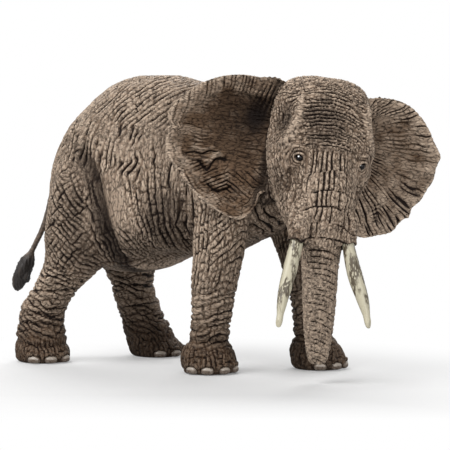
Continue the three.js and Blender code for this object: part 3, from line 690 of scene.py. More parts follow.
def eye_material(paint_settings):
    """Glossy black enamel with a dark brown iris and a pinprick of white as a painted glint: a wet look."""
    material = new_material("eye_gloss_paint")
    place = add_node(material, "ShaderNodeTexCoord", output="Object")
    cloud = add_node(material, "ShaderNodeTexNoise", {
        "Vector": place, "Scale": 1 / (CLOUD_SIZE * MM), "Detail": 2.0})
    brown = add_node(material, "ShaderNodeMath", {0: cloud, 1: 0.35}, operation="MULTIPLY")
    glint = add_node(material, "ShaderNodeAttribute", output="Fac", attribute_name="glint")
    enamel = coats(material, paint_settings.eye, ((brown, paint_settings.wash), (glint, (1, 1, 1))))
    surface = add_node(material, "ShaderNodeBsdfPrincipled", {
        "Base Color": enamel, "Roughness": 0.05, "IOR": 1.45, "Specular IOR Level": 0.25})
    add_node(material, "ShaderNodeOutputMaterial", {"Surface": surface})
    return material


# The skin

def soft_body(settings):
    """One closed skin over the torso, head and legs, with a grain that follows the settings."""
    torso = copy_of("torso", "hide")
    others = [copy_of(node, "hide_" + node) for node in HIDE_NODES[1:]]
    # Plugs fill the sockets of the ears, tusks and tail, whose own pieces start outside the skin.
    for node, side in (("right_ear", -1), ("left_ear", 1)):
        root = from_head((-EAR_SETBACK, side * (EAR_ASIDE + PLUG_CUT), 0))
        others.append(plug_of(node, root, from_head((0, side, 0)) - from_head((0, 0, 0))))
    for node in ("right_tusk", "left_tusk"):
        _, high = (np.array(corner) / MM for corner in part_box(node))
        others.append(plug_of(node, (0, 0, high[2] - TUSK_PLUG), (0, 0, -1)))
    others.append(plug_of("tail", (BODY_ORIGIN[0] + PLUG_CUT, 0, 0), (-1, 0, 0)))
    hold(torso)
    for other in others:
        other.select_set(True)
    bpy.ops.object.join()
    finish_modifier(torso, "REMESH", mode="VOXEL", voxel_size=settings.grain)
    finish_modifier(torso, "SMOOTH", factor=0.5, iterations=settings.softening)
    return torso


def mark_parts(hide, rounds):
    """Keeps, for each moulding, how far each point of the skin belongs to it."""
    mesh = hide.data
    trees = {node: tree_of(node) for node in HIDE_NODES}
    away = np.array([
        [trees[node].find_nearest(vertex.co)[3] for node in HIDE_NODES] for vertex in mesh.vertices])
    parts = np.zeros_like(away)
    parts[np.arange(len(away)), away.argmin(axis=1)] = 1
    soften = neighbours(mesh)
    for node, column in zip(HIDE_NODES, parts.T):
        paint(mesh, "part_" + node, soften(column, rounds))


def on_body(points):
    """Places in the body's own frame: forward from the rump, left of the middle plane, above the floor."""
    return points - BODY_ORIGIN


def on_head(points):
    """Places in the head's own frame: forward, left and up from the middle of the skull."""
    return (points - BODY_ORIGIN - SKULL_MIDDLE) @ HEAD_AXES.T


def from_head(spot):
    """A place of the head's own frame in millimetres of the packed frame."""
    return np.array(spot) @ HEAD_AXES + SKULL_MIDDLE + BODY_ORIGIN


def neighbours(mesh):
    """A function that gives each point the mean over itself and its neighbours, for some rounds."""
    edges = np.empty(len(mesh.edges) * 2, np.int64)
    mesh.edges.foreach_get("vertices", edges)
    ends = np.concatenate([edges[0::2], edges[1::2]])
    others = np.concatenate([edges[1::2], edges[0::2]])
    count = np.bincount(ends, minlength=len(mesh.vertices)) + 1

    def soften(values, rounds):
        for _ in range(rounds):
            values = (values + np.bincount(ends, weights=values[others], minlength=len(values))) / count
        return values
    return soften


def refine(piece, chosen):
    """Halves the faces between chosen points."""
    hold(piece)
    bpy.ops.object.mode_set(mode="EDIT")
    bpy.ops.mesh.select_mode(type="VERT")
    bpy.ops.mesh.select_all(action="DESELECT")
    bpy.ops.object.mode_set(mode="OBJECT")
    piece.data.vertices.foreach_set("select", chosen)
    bpy.ops.object.mode_set(mode="EDIT")
    bpy.ops.mesh.subdivide(number_cuts=1)
    bpy.ops.object.mode_set(mode="OBJECT")


def gap_to(points, node, reach=3.0):
    """How far each point is from a packed node, in millimetres, up to that reach."""
    tree = tree_of(node)
    low, high = (np.array(corner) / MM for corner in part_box(node))
    away = np.full(len(points), reach)
    for index in np.where(np.all((points > low - reach) & (points < high + reach), axis=1))[0]:
        found = tree.find_nearest(points[index] * MM, reach * MM)[3]
        if found is not None:
            away[index] = found / MM
    return away


def round_limb(points, owned, step=3.0):
    """The direction of each point from the middle line of an upright limb, and the limb's radius there."""
    limb = points[owned]
    levels = np.arange(limb[:, 2].min(), limb[:, 2].max(), step)
    slices = [limb[np.abs(limb[:, 2] - level) < step, :2] for level in levels]
    low, high = (np.array([pick(part, axis=0) for part in slices]) for pick in (np.min, np.max))
    middle = (low + high) / 2
    centre = np.stack([np.interp(points[:, 2], levels, middle[:, axis]) for axis in (0, 1)], axis=1)
    away = points[:, :2] - centre
    radius = np.interp(points[:, 2], levels, (high - low).mean(axis=1) / 2)
    return np.arctan2(away[:, 1], away[:, 0]), radius


def past_valley(points):
    """How far each point is ahead of the valley between the haunch and the belly, in millimetres."""
    line = BODY_FOLDS[VALLEY_FOLD][0][::-1]
    return points[:, 0] - np.interp(points[:, 2], [place[1] for place in line], [place[0] for place in line])


def carve_torso(points):
    """Furrows down the flanks, dashes over the shoulder, a net on the haunches and rows over the back."""
    forward, aside, up = points.T
    girth = BARREL_RADIUS * np.arctan2(np.abs(aside), up - BARREL_MIDDLE)
    flat = points[:, [0, 2]]
    # Round the rump the way forward turns inwards to the tail.
    forward = forward - 0.7 * np.maximum(16 - np.abs(aside), 0) * fade(12, 2, forward)
    lean = 0.28 * (up - 58) * (1 - fade(35, 58, forward))
    lean = lean + 0.45 * np.minimum(up - 42, 0) * (1 - fade(34, 48, forward))
    flank = weave(points, (forward + lean) / 2.4, 2.4, girth, 3.2, 11, 6.0, 0.5, 0.4, 1.1, ties=0.6, gaps=0.4)
    thin = weave(points, (forward + lean) / 1.1, 1.1, girth, 2.4, 12, 4.0, 0.4, 0.2, ties=0.1, gaps=0.5)
    flank = np.maximum(flank, 0.55 * thin)
    cross = lattice(points, 0.7 * up - 0.7 * forward, 0.8 * up + 0.5 * forward, (3.4, 4.2), 15, 0.26, 0.5)
    flank = np.maximum(flank, 0.5 * cross * fade(-0.2, 0.4, drift(points, 8, 17)) * fade(60, 54, up))
    dashes = weave(
        points, (forward - 0.25 * (up - 60)) / 2.0, 2.0, girth, 2.2, 19, 4.0, 0.6, 0.48, 1.1, ties=0.5)
    dashes *= 0.45 + 0.7 * fade(-0.3, 0.2, drift(points * (1, 1, 0.6), 2.2, 20))
    # Thick creases run down the valley behind the belly.
    ahead = past_valley(points)
    runs = weave(points, ahead / 1.6, 1.6, up, 2.2, 26, 4.0, 0.7, 0.42, 1.15, ties=0.6)
    valley = fade(-9, -5, ahead) * fade(2.2, 0.4, ahead) * fade(69, 62, up)
    back = weave(
        points, (0.64 * forward + 0.77 * girth) / 1.3, 1.3, 0.77 * forward - 0.64 * girth, 1.9, 16,
        5.0, 0.45, 0.26, ties=0.6, gaps=0.5)
    back *= 0.4 + 0.7 * fade(-0.5, 0.1, drift(points, 2.4, 18))
    net = 0.6 * lattice(
        points, 0.9 * forward + 0.4 * up, 0.6 * forward - 0.8 * up, (1.3, 1.9), 21, 0.26, 0.65)
    belly = weave(points, girth / 1.9, 1.9, forward, 2.4, 41)
    shoulder = fade(51, 58, up) * fade(48, 38, forward)
    on_back = fade(67, 74, up + 0.15 * (forward - 30) + 3 * drift(points, 7, 13))
    on_haunch = 1 - fade(17, 27, forward + 0.15 * (up - 50))
    under = fade(33, 28, up)
    side = (1 - valley) * ((1 - on_haunch) * flank + on_haunch * net) + valley * runs
    crease = (1 - on_back) * ((1 - shoulder) * side + shoulder * dashes) + 0.9 * on_back * back
    crease = crease * (1 - under) + 0.7 * belly * under
    calm = 1 - 0.85 * fade(0, 0.6, bulge(flat, *SMOOTH_FLANK)) + 0.6 * bulge(flat, *ROUGH_FLANK)
    return crease * calm * (0.75 + 0.35 * drift(points, 9, 14))


def carve_rear(points, turn, radius):
    """The net of the thigh, slanting creases over the knee and rings round the shank."""
    forward, _, up = points.T
    across = turn * radius
    net = 0.9 * lattice(
        points, 0.75 * forward + 0.66 * up, 0.7 * forward - 0.7 * up, (1.4, 1.8), 22, 0.28, 0.6)
    rings = weave(points, (up + 0.5 * forward) / 1.7, 1.7, across, 2.4, 23, 4.0, 0.5, ties=0.5)
    folds = weave(points, (up - 0.1 * forward) / 2.3, 2.3, across, 2.4, 25, 4.0, 0.5, ties=0.3)
    rings = np.maximum(rings, 0.85 * folds)
    shank = fade(33, 25, up)
    return (net * (1 - shank) + rings * shank) * (0.8 + 0.3 * drift(points, 7, 24))


def carve_front(points, turn, radius):
    """Long upright creases down the foreleg, slanting folds on its front and rings above the ankle."""
    forward, _, up = points.T
    across = turn * radius
    upright = weave(points, across / 1.5, 1.5, up, 2.3, 51, 5.0, 0.5, ties=0.7)
    slanting = weave(points, (up - 0.9 * forward) / 1.9, 1.9, across, 2.2, 52, 4.0, ties=0.6)
    rings = weave(points, (up - 0.3 * forward) / 1.7, 1.7, across, 2.2, 53, 4.0, 0.6, ties=0.6)
    shank = fade(27, 21, up)
    ahead = fade(-0.2, 0.5, np.cos(turn)) * fade(24, 34, up)
    long = np.maximum(upright * (1 - 0.5 * ahead), 0.9 * slanting * ahead)
    return (long * (1 - shank) + rings * shank) * (0.8 + 0.3 * drift(points, 7, 54))


def carve_foot(points, turn, radius):
    """Fine upright creases of a foot."""
    return 0.6 * weave(points, turn * radius / 1.3, 1.3, points[:, 2], 1.8, 56, 3.0, 0.6, 0.28, ties=0.9)


def forehead_patch(local):
    """The dark middle of the forehead, a little to the right of the middle plane."""
    _, aside, up = local.T
    away = np.hypot((aside + 3.2) / 6.2, (up - 9.6) / 7.6) + 0.2 * drift(local, 2, 38)
    return fade(1.35, 0.5, away) * fade(2.0, 5.5, local[:, 0])


def brow_ridge(local):
    """The smooth light ridge from the side of the forehead down round the temple."""
    flat = np.stack([np.abs(local[:, 1]), local[:, 2]], axis=1)
    return fade(-1, 2, local[:, 0]) * groove(flat, BROW_PATH, 1.15)


def carve_head(local, turn):
    """Wavy creases across the forehead, bricks and rings down the trunk, fine folds on the temples."""
    forward, aside, up = local.T
    side = np.abs(aside)
    patch = forehead_patch(local)
    # Over the crown, which is nearly level, the rows are counted backwards instead of upwards.
    arcs = up + 0.03 * (aside + 2) ** 2 - fade(16, 22, up) * (forward - 8)
    brow = weave(local, arcs / 0.95, 0.95, aside, 2.6, 31, 4.0, 0.45, 0.2, ties=0.3) * (1 + 0.4 * patch)
    level = up + 0.03 * np.minimum(side, 9) ** 2
    folds = list(TRUNK_FOLDS)
    while folds[-1] > TRUNK_TIP:
        folds.append(folds[-1] - max(1.0, 1.6 + 0.02 * (folds[-1] + 24)))
    count = np.arange(len(folds))
    rows = np.interp(-level, -np.array(folds), count)
    gap = np.interp(-level, -np.array(folds), -np.gradient(folds))
    upper = fade(-24, -8, up)
    long = 0.9 * fade(-6.3, -7.8, up) * fade(1.6, 0.9, np.abs(turn))
    middle = fade(1.25, 0.7, np.abs(turn + 0.08)) * upper
    beside = fade(0.6, 1.1, np.abs(turn))
    round_trunk = (1 - beside) * aside + beside * np.sign(turn) * (6 + 6 * (np.abs(turn) - 0.85))
    bricks = weave(
        local, rows, gap, round_trunk, 1.3, 32, 7.0, 0.16, 0.24, long,
        0.45 + 0.5 * middle, 0.2, bars=1.0 + 0.4 * middle)
    bricks *= 1 - 0.25 * fade(-24, -34, up)
    around = 14 * np.arctan2(side, forward + 4)
    cheek = weave(local, (around - 0.3 * up) / 1.25, 1.25, up, 1.6, 36, 3.0, 0.7, 0.26, ties=0.3)
    small = creases(local, (0.8, 0.8, 2.0), 34, width=0.24, reach=0.4, size=2)
    front = fade(2.0, 5.5, forward)
    reach = 7 + 6 * fade(11, 16, up)
    central = np.maximum(front, fade(12, 17, up))
    central = central * (1 - fade(reach, reach + 4, side + 2 * drift(local, 5, 37)))
    temple = bulge(np.stack([forward, side, up], axis=1), (4, 13, 10), (7, 4.5, 8))
    ridge = brow_ridge(local)
    trunk = fade(4, 0, up) * fade(5.5, 9.5, forward + 0.35 * (-12 - up) * (up < -12))
    central = central * fade(1, 4, up)
    beside_brow = (1 - central) * (0.4 + 0.4 * fade(-2, -8, up) + 0.8 * temple) * cheek
    crease = trunk * bricks + (1 - trunk) * (central * brow + beside_brow)
    crease *= 1 - 0.8 * ridge
    return np.maximum(crease, 0.4 * small)


def carve_eye(local, spot):
    """The lids of an eye and the rings of wrinkles round it: height in millimetres and wash."""
    side = 1 if spot[1] > 0 else -1
    # The eye looks forward and aside; across it runs the long way of the lids.
    ahead = np.array((0.62, 0.78 * side, 0.0))
    across = np.array((-0.78 * side, 0.62, 0.0)) * side
    rel = local - np.array(spot)
    x, z = rel @ across, rel[:, 2]
    near = fade(7.5, 5.0, np.linalg.norm(rel, axis=1)) * fade(-1.0, 1.0, rel @ ahead)
    shape = np.hypot(x / 1.15, (z + 0.12 * x) / 0.88)
    wobble = shape + 0.12 * drift(local, 1.5, 71)
    socket = -0.7 * fade(1.05, 0.6, shape)
    lids = 0.45 * np.exp(-((shape - 1.3) / 0.32) ** 2) * (1 + 0.3 * np.sign(z))
    height = socket + lids - 0.35 * np.exp(-((wobble - 1.95) / 0.22) ** 2)
    wash = 0.8 * np.exp(-((shape - 0.8) / 0.28) ** 2) + 0.8 * np.exp(-((wobble - 1.9) / 0.22) ** 2)
    wide = np.hypot(x / 1.35, (z + 0.12 * x) / 0.95) + 0.4 * drift(local, 1.8, 70)
    for number, place in enumerate(EYE_WRINKLES):
        ring = np.exp(-((wide - place) / 0.22) ** 2) * fade(-0.5, 0.2, drift(local, 2.2, 72 + number))
        height -= 0.25 * ring
        wash += 0.7 * ring
    # The brow stands over the eye, and the cheek falls away below it.
    height += 0.9 * np.exp(-((z - 2.7 - 0.1 * x) / 0.9) ** 2 - (x / 3.4) ** 2)
    height -= 0.7 * np.exp(-((z + 3.2) / 0.8) ** 2 - (x / 2.8) ** 2)
    return near * height, near * wash, near * fade(6.2, 4.2, shape)


def carve_toes(points):
    """The cuticles round the toenails: height in millimetres and wash."""
    height = np.zeros(len(points))
    wash = np.zeros(len(points))
    for sole, width, turns in FEET.values():
        for degrees in turns:
            turn = math.radians(degrees)
            rel = points - (*sole, 0.0)
            out = rel[:, 0] * math.cos(turn) + rel[:, 1] * math.sin(turn)
            out = out - (width / 2 + NAIL_PROUD - NAIL_RADII[0])
            over = rel[:, 1] * math.cos(turn) - rel[:, 0] * math.sin(turn)
            place = np.hypot(over / (NAIL_RADII[1] * width), (rel[:, 2] - NAIL_LIFT) / NAIL_RADII[2])
            near = fade(-0.6, 0.4, out) * (np.hypot(out, over) < 6)
            height += near * (0.35 * np.exp(-((place - 1.45) / 0.25) ** 2) - 0.45 * fade(1.1, 0.8, place))
            wash += near * 0.9 * np.exp(-((place - 1.08) / 0.14) ** 2)
    return height, wash


def beside_elbow(body):
    """Places seen from the side, with the left foreleg's brought back to the right one's."""
    lead = LEG_LEAD * fade(0, 1, body[:, 1])
    return body[:, [0, 2]] - np.stack([lead, np.zeros(len(body))], axis=1)


def body_forms(points, out):
    """Muscles, valleys and folds of the body and the legs, in millimetres."""
    forward, aside, up = points.T
    flat = points[:, [0, 2]]
    outer = fade(0.0, 0.5, out[:, 1] * np.sign(aside)) * fade(5, 9, np.abs(aside))
    # The left foreleg stands further ahead than the right one, and the fold behind its elbow with it.
    elbow = beside_elbow(points)
    height = outer * sum(
        depth * groove(elbow if number == ELBOW_FOLD else flat, path, width)
        for number, (path, width, depth) in enumerate(BODY_FOLDS))
    height += outer * bulge(flat, *HAUNCH_LUMP) * 0.5
    height += 0.5 * bulge(flat, *RUMP_LUMP) * fade(3, 8, np.abs(aside))
    height -= 0.5 * bulge(flat, *LOIN_HOLLOW) * fade(5, 9, np.abs(aside))
    # The back is a little higher over the rump, and the belly line a little higher before the groin.
    height += fade(54, 68, up) * np.interp(forward, BACK_PLACES, BACK_HEIGHTS)
    height -= 2.3 * np.exp(-((forward - 45) / 8) ** 2) * fade(0.1, -0.6, out[:, 2]) * fade(36, 31, up)
    return height


def leg_forms(points, out, rear_right):
    """The fuller backs of the legs, in millimetres, most of all on the right hind leg."""
    up = points[:, 2]
    behind = fade(0.1, 0.9, -0.86 * out[:, 0] - 0.51 * out[:, 1]) * fade(2, 6, up)
    return behind * (0.7 * fade(34, 26, up) + 0.8 * rear_right * np.exp(-((up - 22) / 7) ** 2))


def tusk_shift(points):
    """How far the left cheek and tusk lean in from the mouldings', which photograph a little too far out."""
    local = on_head(points)
    near = bulge(local, (17, 9, -24), (14, 9, 34)) * fade(-50, -30, local[:, 2]) * fade(-8, -18, local[:, 2])
    return near[:, None] * (np.array(TUSK_LEAN) @ HEAD_AXES)


def head_forms(local):
    """The dome, the temples and the cheeks of the head, in millimetres."""
    side = np.abs(local[:, 1])
    mirrored = np.stack([local[:, 0], side, local[:, 2]], axis=1)
    flat = mirrored[:, 1:]
    front = fade(0, 4, local[:, 0])
    height = -1.4 * bulge(mirrored, *TEMPLE_HOLLOW)
    height += 1.3 * brow_ridge(local)
    height += 0.4 * bulge(mirrored, *CHEEK_BONE)
    height -= 1.1 * bulge(mirrored, *CHEEK_HOLLOW)
    height -= 0.6 * front * bulge(flat, (0, 11), (9, 7))
    # A hollow runs from under the eye down the cheek.
    height -= 1.0 * fade(8, 10, side) * groove(local[:, [0, 2]], CHEEK_PATH, 1.2)
    return height


def sculpt(hide, settings):
    """Carves the skin and keeps what the paint needs."""
    mesh = hide.data
    soften = neighbours(mesh)
    parts = {node: painted(mesh, "part_" + node) for node in HIDE_NODES}
    points = places(mesh)
    out = facings(mesh)
    body = on_body(points)
    local = on_head(points)
    up = body[:, 2]
    sole = fade(1.4, 0.2, up)

    # Large forms first, then the creases along the new surface.
    height = (1 - parts["head"]) * body_forms(body, out) + parts["head"] * head_forms(local)
    height += sum(parts[node] for node in LEGS) * leg_forms(body, out, parts["rear_right_leg"])
    for node, folds in LEG_FOLDS.items():
        foot = FEET[node][0][0]
        for level, slant, depth, width in folds:
            place = (up + slant * (body[:, 0] - foot) - level + 0.9 * drift(points, 4, 81)) / width
            fold = 0.25 * np.exp(-(place - 1.7) ** 2 / 1.6) - np.exp(-place ** 2)
            height += 0.45 * parts[node] * depth * fold
    toes, cuticles = carve_toes(body)
    height = settings.form_depth * height
    # Painted shade fills the hollows of the large forms, less on the head and not on faces that look down.
    valley = np.clip(-0.9 * height, 0, 1) * (1 - 0.75 * parts["head"]) * fade(0.3, -0.2, -out[:, 2])
    # Painted shade darkens the haunch towards the groin and ends sharply at the belly; it darkens the thigh
    # ahead, and the torso where it meets the forelegs.
    ahead = past_valley(body)
    groin = fade(-10, -2, ahead) * fade(2.6, 0.6, ahead) * fade(68, 60, up) * (0.85 + 0.15 * fade(54, 44, up))
    thigh = 0.75 * fade(8, 23, body[:, 0]) * fade(20, 32, up)
    rear = parts["rear_right_leg"] + parts["rear_left_leg"]
    front = parts["front_right_leg"] + parts["front_left_leg"]
    elbow = 4 * parts["torso"] * front * fade(59, 56, body[:, 0]) * fade(56, 46, up)
    for patch in (parts["torso"] * groin, rear * thigh, elbow):
        valley = np.maximum(valley, patch)
    # Round the roots of the tusks, the ears and the tail the skin takes painted shade, and round the tusks it
    # sinks a little.
    for node in ("right_tusk", "left_tusk"):
        away = gap_to(points, node)
        height -= 0.5 * np.exp(-((away - 1.2) / 1.2) ** 2)
        valley = np.maximum(valley, np.exp(-(away / 0.7) ** 2))
    for node in ("right_ear", "left_ear", "tail"):
        valley = np.maximum(valley, np.exp(-(gap_to(points, node) / 0.9) ** 2))
    lean = parts["head"][:, None] * tusk_shift(points)
    move_to(mesh, points + lean + out * ((1 - sole) * (height + toes))[:, None])
    out = facings(mesh)
    points = places(mesh)

    crease = parts["torso"] * carve_torso(body)
    legs = sum(parts[node] for node in LEGS)
    ankle = fade(8.5, 6.0, up)
    for node in LEGS:
        turn, radius = round_limb(body, parts[node] > 0.5)
        carve = carve_rear if node.startswith("rear") else carve_front
        shank = (1 - ankle) * carve(body, turn, radius)
        crease += parts[node] * (shank + ankle * carve_foot(body, turn, radius))
    turn, _ = round_limb(local, (parts["head"] > 0.5) & (local[:, 0] > 3) & (local[:, 2] < 3))
    crease += parts["head"] * carve_head(local, turn)
    lips = np.clip(soften(crease, 3) - crease, 0, 0.4)
    depth = 0.75 * crease + (0.6 - 0.25 * legs) * soften(crease, 3) - 0.3 * lips - 0.3
    wash = crease.copy()
    for spot in EYES:
        lift, stain, near = carve_eye(local, spot)
        depth = depth * (1 - near) - lift
        wash = wash * (1 - near) + stain
    depth *= settings.crease_depth
    moved = points - out * ((1 - sole) * depth)[:, None]
    moved[:, 2] = np.maximum(moved[:, 2], 0.0)
    move_to(mesh, moved)

    # The wash stays in the hollows, and the dry brush takes the ridges between them.
    around = np.stack([soften(column, 4) for column in moved.T], axis=1)
    hollow = ((around - moved) * facings(mesh)).sum(axis=1)
    crease_wash = 1.1 * wash + 2.0 * np.clip(hollow - 0.02, 0, 0.3)
    paint(mesh, "wash", np.maximum(crease_wash, cuticles))
    ridge = 0.3 - wash + 1.4 * lips + 8 * np.clip(-hollow, 0, 0.15) + 0.25 * drift(points, 5, 82)
    # Painted shade also lies under the belly and the legs, on the legs' inner sides, behind the elbows, in
    # the temples and the cheeks and on the body below the right ear; the forehead's dark middle takes the
    # same colour.
    under = fade(0.3, -0.6, out[:, 2]) * fade(50, 34, up) * (parts["torso"] + 0.6 * legs)
    inner = 0.55 * legs * fade(0.2, -0.6, out[:, 1] * np.sign(body[:, 1])) * fade(44, 34, up)
    behind_elbow = parts["torso"] * np.minimum(0.8, 1.3 * bulge(beside_elbow(body), *BEHIND_ELBOW))
    mirrored = np.stack([local[:, 0], np.abs(local[:, 1]), local[:, 2]], axis=1)
    dark = parts["head"] * np.maximum.reduce([
        0.65 * forehead_patch(local), 0.85 * bulge(mirrored, (3.8, 13.2, 9.2), (8, 6, 9)),
        0.5 * bulge(mirrored, (5, 12, -8), (8, 6, 10))])
    hollow_cheek = 0.3 * parts["head"] * groove(local[:, [0, 2]], CHEEK_PATH, 1.6)
    behind_ear = 0.75 * parts["torso"] * fade(10.0, 3.0, gap_to(points, "right_ear", 10.0))
    shade = np.maximum.reduce([0.6 * under, valley, dark, inner, behind_elbow, hollow_cheek, behind_ear])
    # Along the belly's edge the painted shade gives way to a lighter ridge.
    edge = parts["torso"] * groove(body[:, [0, 2]], BODY_FOLDS[BELLY_EDGE][0], 0.9)
    shade *= 1 - 0.7 * edge
    paint(mesh, "shade", shade)
    # The dry brush lies heavier on the haunch, along the brow ridge and down the trunk, partly as painted
    # highlight; it is thinner on the feet and kept out of the painted shade.
    trunk = fade(4, -6, local[:, 2]) * fade(10, 7, np.abs(local[:, 1]))
    haunch = fade(26, 16, body[:, 0])
    ridge += 0.5 * edge + parts["torso"] * (0.1 + 0.25 * haunch) + parts["head"] * (
        0.5 * brow_ridge(local) + 0.4 * trunk + 0.5 * fade(-20, -30, local[:, 2]) - 0.1)
    paint(mesh, "ridge", np.clip(ridge, 0, 1) * (1 - 0.8 * fade(26, 5, up) * legs) * (1 - 0.9 * shade))
    paint(mesh, "foot", fade(22, 5, up) * legs * 0.9)
    # The fine creases lie upright on the flanks, the forelegs and the feet, level on the shanks and the
    # forehead, and cross elsewhere.
    lay = parts["torso"] * (1 - 0.5 * np.maximum(haunch, fade(60, 69, up))) + 0.5 * rear * fade(24, 33, up)
    below = parts["head"] * fade(6, 0, local[:, 2])
    lay += front * fade(20, 28, up) + below * (0.4 + 0.5 * fade(-30, -12, local[:, 2]))
    paint(mesh, "lay", np.maximum(lay, legs * fade(9, 6, up)))


def close_cuts(piece):
    """Closes each opening with a fan of faces round its middle, and keeps its edge sharp for the shading."""
    shape = bmesh.new()
    shape.from_mesh(piece.data)
    open_edges = {edge for edge in shape.edges if edge.is_boundary}
    while open_edges:
        start = open_edges.pop()
        loop = {start}
        reach = list(start.verts)
        while reach:
            for edge in reach.pop().link_edges:
                if edge in open_edges:
                    open_edges.discard(edge)
                    loop.add(edge)
                    reach.extend(edge.verts)
        middle = sum((edge.verts[0].co + edge.verts[1].co for edge in loop), Vector()) / (2 * len(loop))
        centre = shape.verts.new(middle)
        for edge in loop:
            inner = edge.link_loops[0]
            edge.smooth = False
            shape.faces.new((inner.link_loop_next.vert, inner.vert, centre))
    shape.to_mesh(piece.data)
    shape.free()


def part_skin(hide):
    """Parts the skin where the mouldings meet: one closed piece for each node."""
    mesh = hide.data
    parts = np.stack([painted(mesh, "part_" + node) for node in HIDE_NODES], axis=1)
    corners = np.empty(len(mesh.loops), np.int64)
    mesh.loops.foreach_get("vertex_index", corners)
    starts = np.empty(len(mesh.polygons), np.int64)
    mesh.polygons.foreach_get("loop_start", starts)
    owner = np.add.reduceat(parts[corners], starts, axis=0).argmax(axis=1)
    mesh.materials.clear()
    for node in HIDE_NODES:
        mesh.materials.append(bpy.data.materials.new("part_" + node))
    mesh.polygons.foreach_set("material_index", owner)
    hold(hide)
    bpy.ops.object.mode_set(mode="EDIT")
    bpy.ops.mesh.select_all(action="SELECT")
    bpy.ops.mesh.separate(type="MATERIAL")
    bpy.ops.object.mode_set(mode="OBJECT")
    pieces = {}
    for piece in list(bpy.context.selected_objects):
        name = piece.data.materials[0].name
        pieces[name.removeprefix("part_")] = piece
    return pieces


class FIGURE_OT_hide(bpy.types.Operator):
    """Carves the skin of the torso, the head and the four legs"""

    bl_idname = "figure.hide"
    bl_label = "Hide"

    def execute(self, context):
        settings = context.scene.elephant_hide
        hide = soft_body(settings)
        mark_parts(hide, settings.part_blend)
        finish_modifier(hide, "SUBSURF", levels=1, render_levels=1)
        for spot in EYES:
            away = np.linalg.norm(places(hide.data) - from_head(spot), axis=1)
            refine(hide, away < EYE_MESH_REACH)
        sculpt(hide, settings)
        material = hide_material(context.scene.elephant_paint)
        for node, piece in part_skin(hide).items():
            piece.name = node + "_skin"
            close_cuts(piece)
            finished(piece, node, material)
        return {"FINISHED"}


# Ears, tusks, tail

def on_ear(points, node):
    """Places in an ear's own frame: outward from its root, up, and out of its front face."""
    sign = 1 if node == "left_ear" else -1
    forward, left, up = on_head(points).T
    forward = forward + EAR_SETBACK
    outward = sign * left - EAR_ASIDE
    flat = outward * math.cos(EAR_SWEEP) - forward * math.sin(EAR_SWEEP)
    front = forward * math.cos(EAR_SWEEP) + outward * math.sin(EAR_SWEEP)
    lift = EAR_LIFT[node]
    return np.stack([
        flat * math.cos(lift) + up * math.sin(lift),
        up * math.cos(lift) - flat * math.sin(lift),
        front], axis=1)


def from_rim(local):
    """How far each point of an ear is from its rim, in millimetres, along rays from the ear's middle."""
    outward, up = local[:, 0] - EAR_MIDDLE, local[:, 1]
    turn = np.arctan2(up, outward)
    reach = np.hypot(outward, up)
    bounds = np.linspace(-math.pi, math.pi, RIM_STEPS + 1)
    rim = np.zeros(RIM_STEPS)
    step = np.clip(((turn / math.tau + 0.5) * RIM_STEPS).astype(int), 0, RIM_STEPS - 1)
    np.maximum.at(rim, step, reach)
    rim = (np.roll(rim, 1) + 2 * rim + np.roll(rim, -1)) / 4
    return np.interp(turn, (bounds[:-1] + bounds[1:]) / 2, rim, period=math.tau) - reach


def ear_outline(local, node):
    """How far each point of an ear moves in the ear's plane for the notches and lobes of its edge."""
    outward, up = local[:, 0] - EAR_MIDDLE, local[:, 1]
    reach = np.maximum(np.hypot(outward, up), 1)
    degrees = np.degrees(np.arctan2(up, outward))
    shift = np.interp(degrees, *EAR_EDGES[node]) * fade(8, 0, from_rim(local))
    return np.stack([shift * outward / reach, shift * up / reach, np.zeros(len(shift))], axis=1)


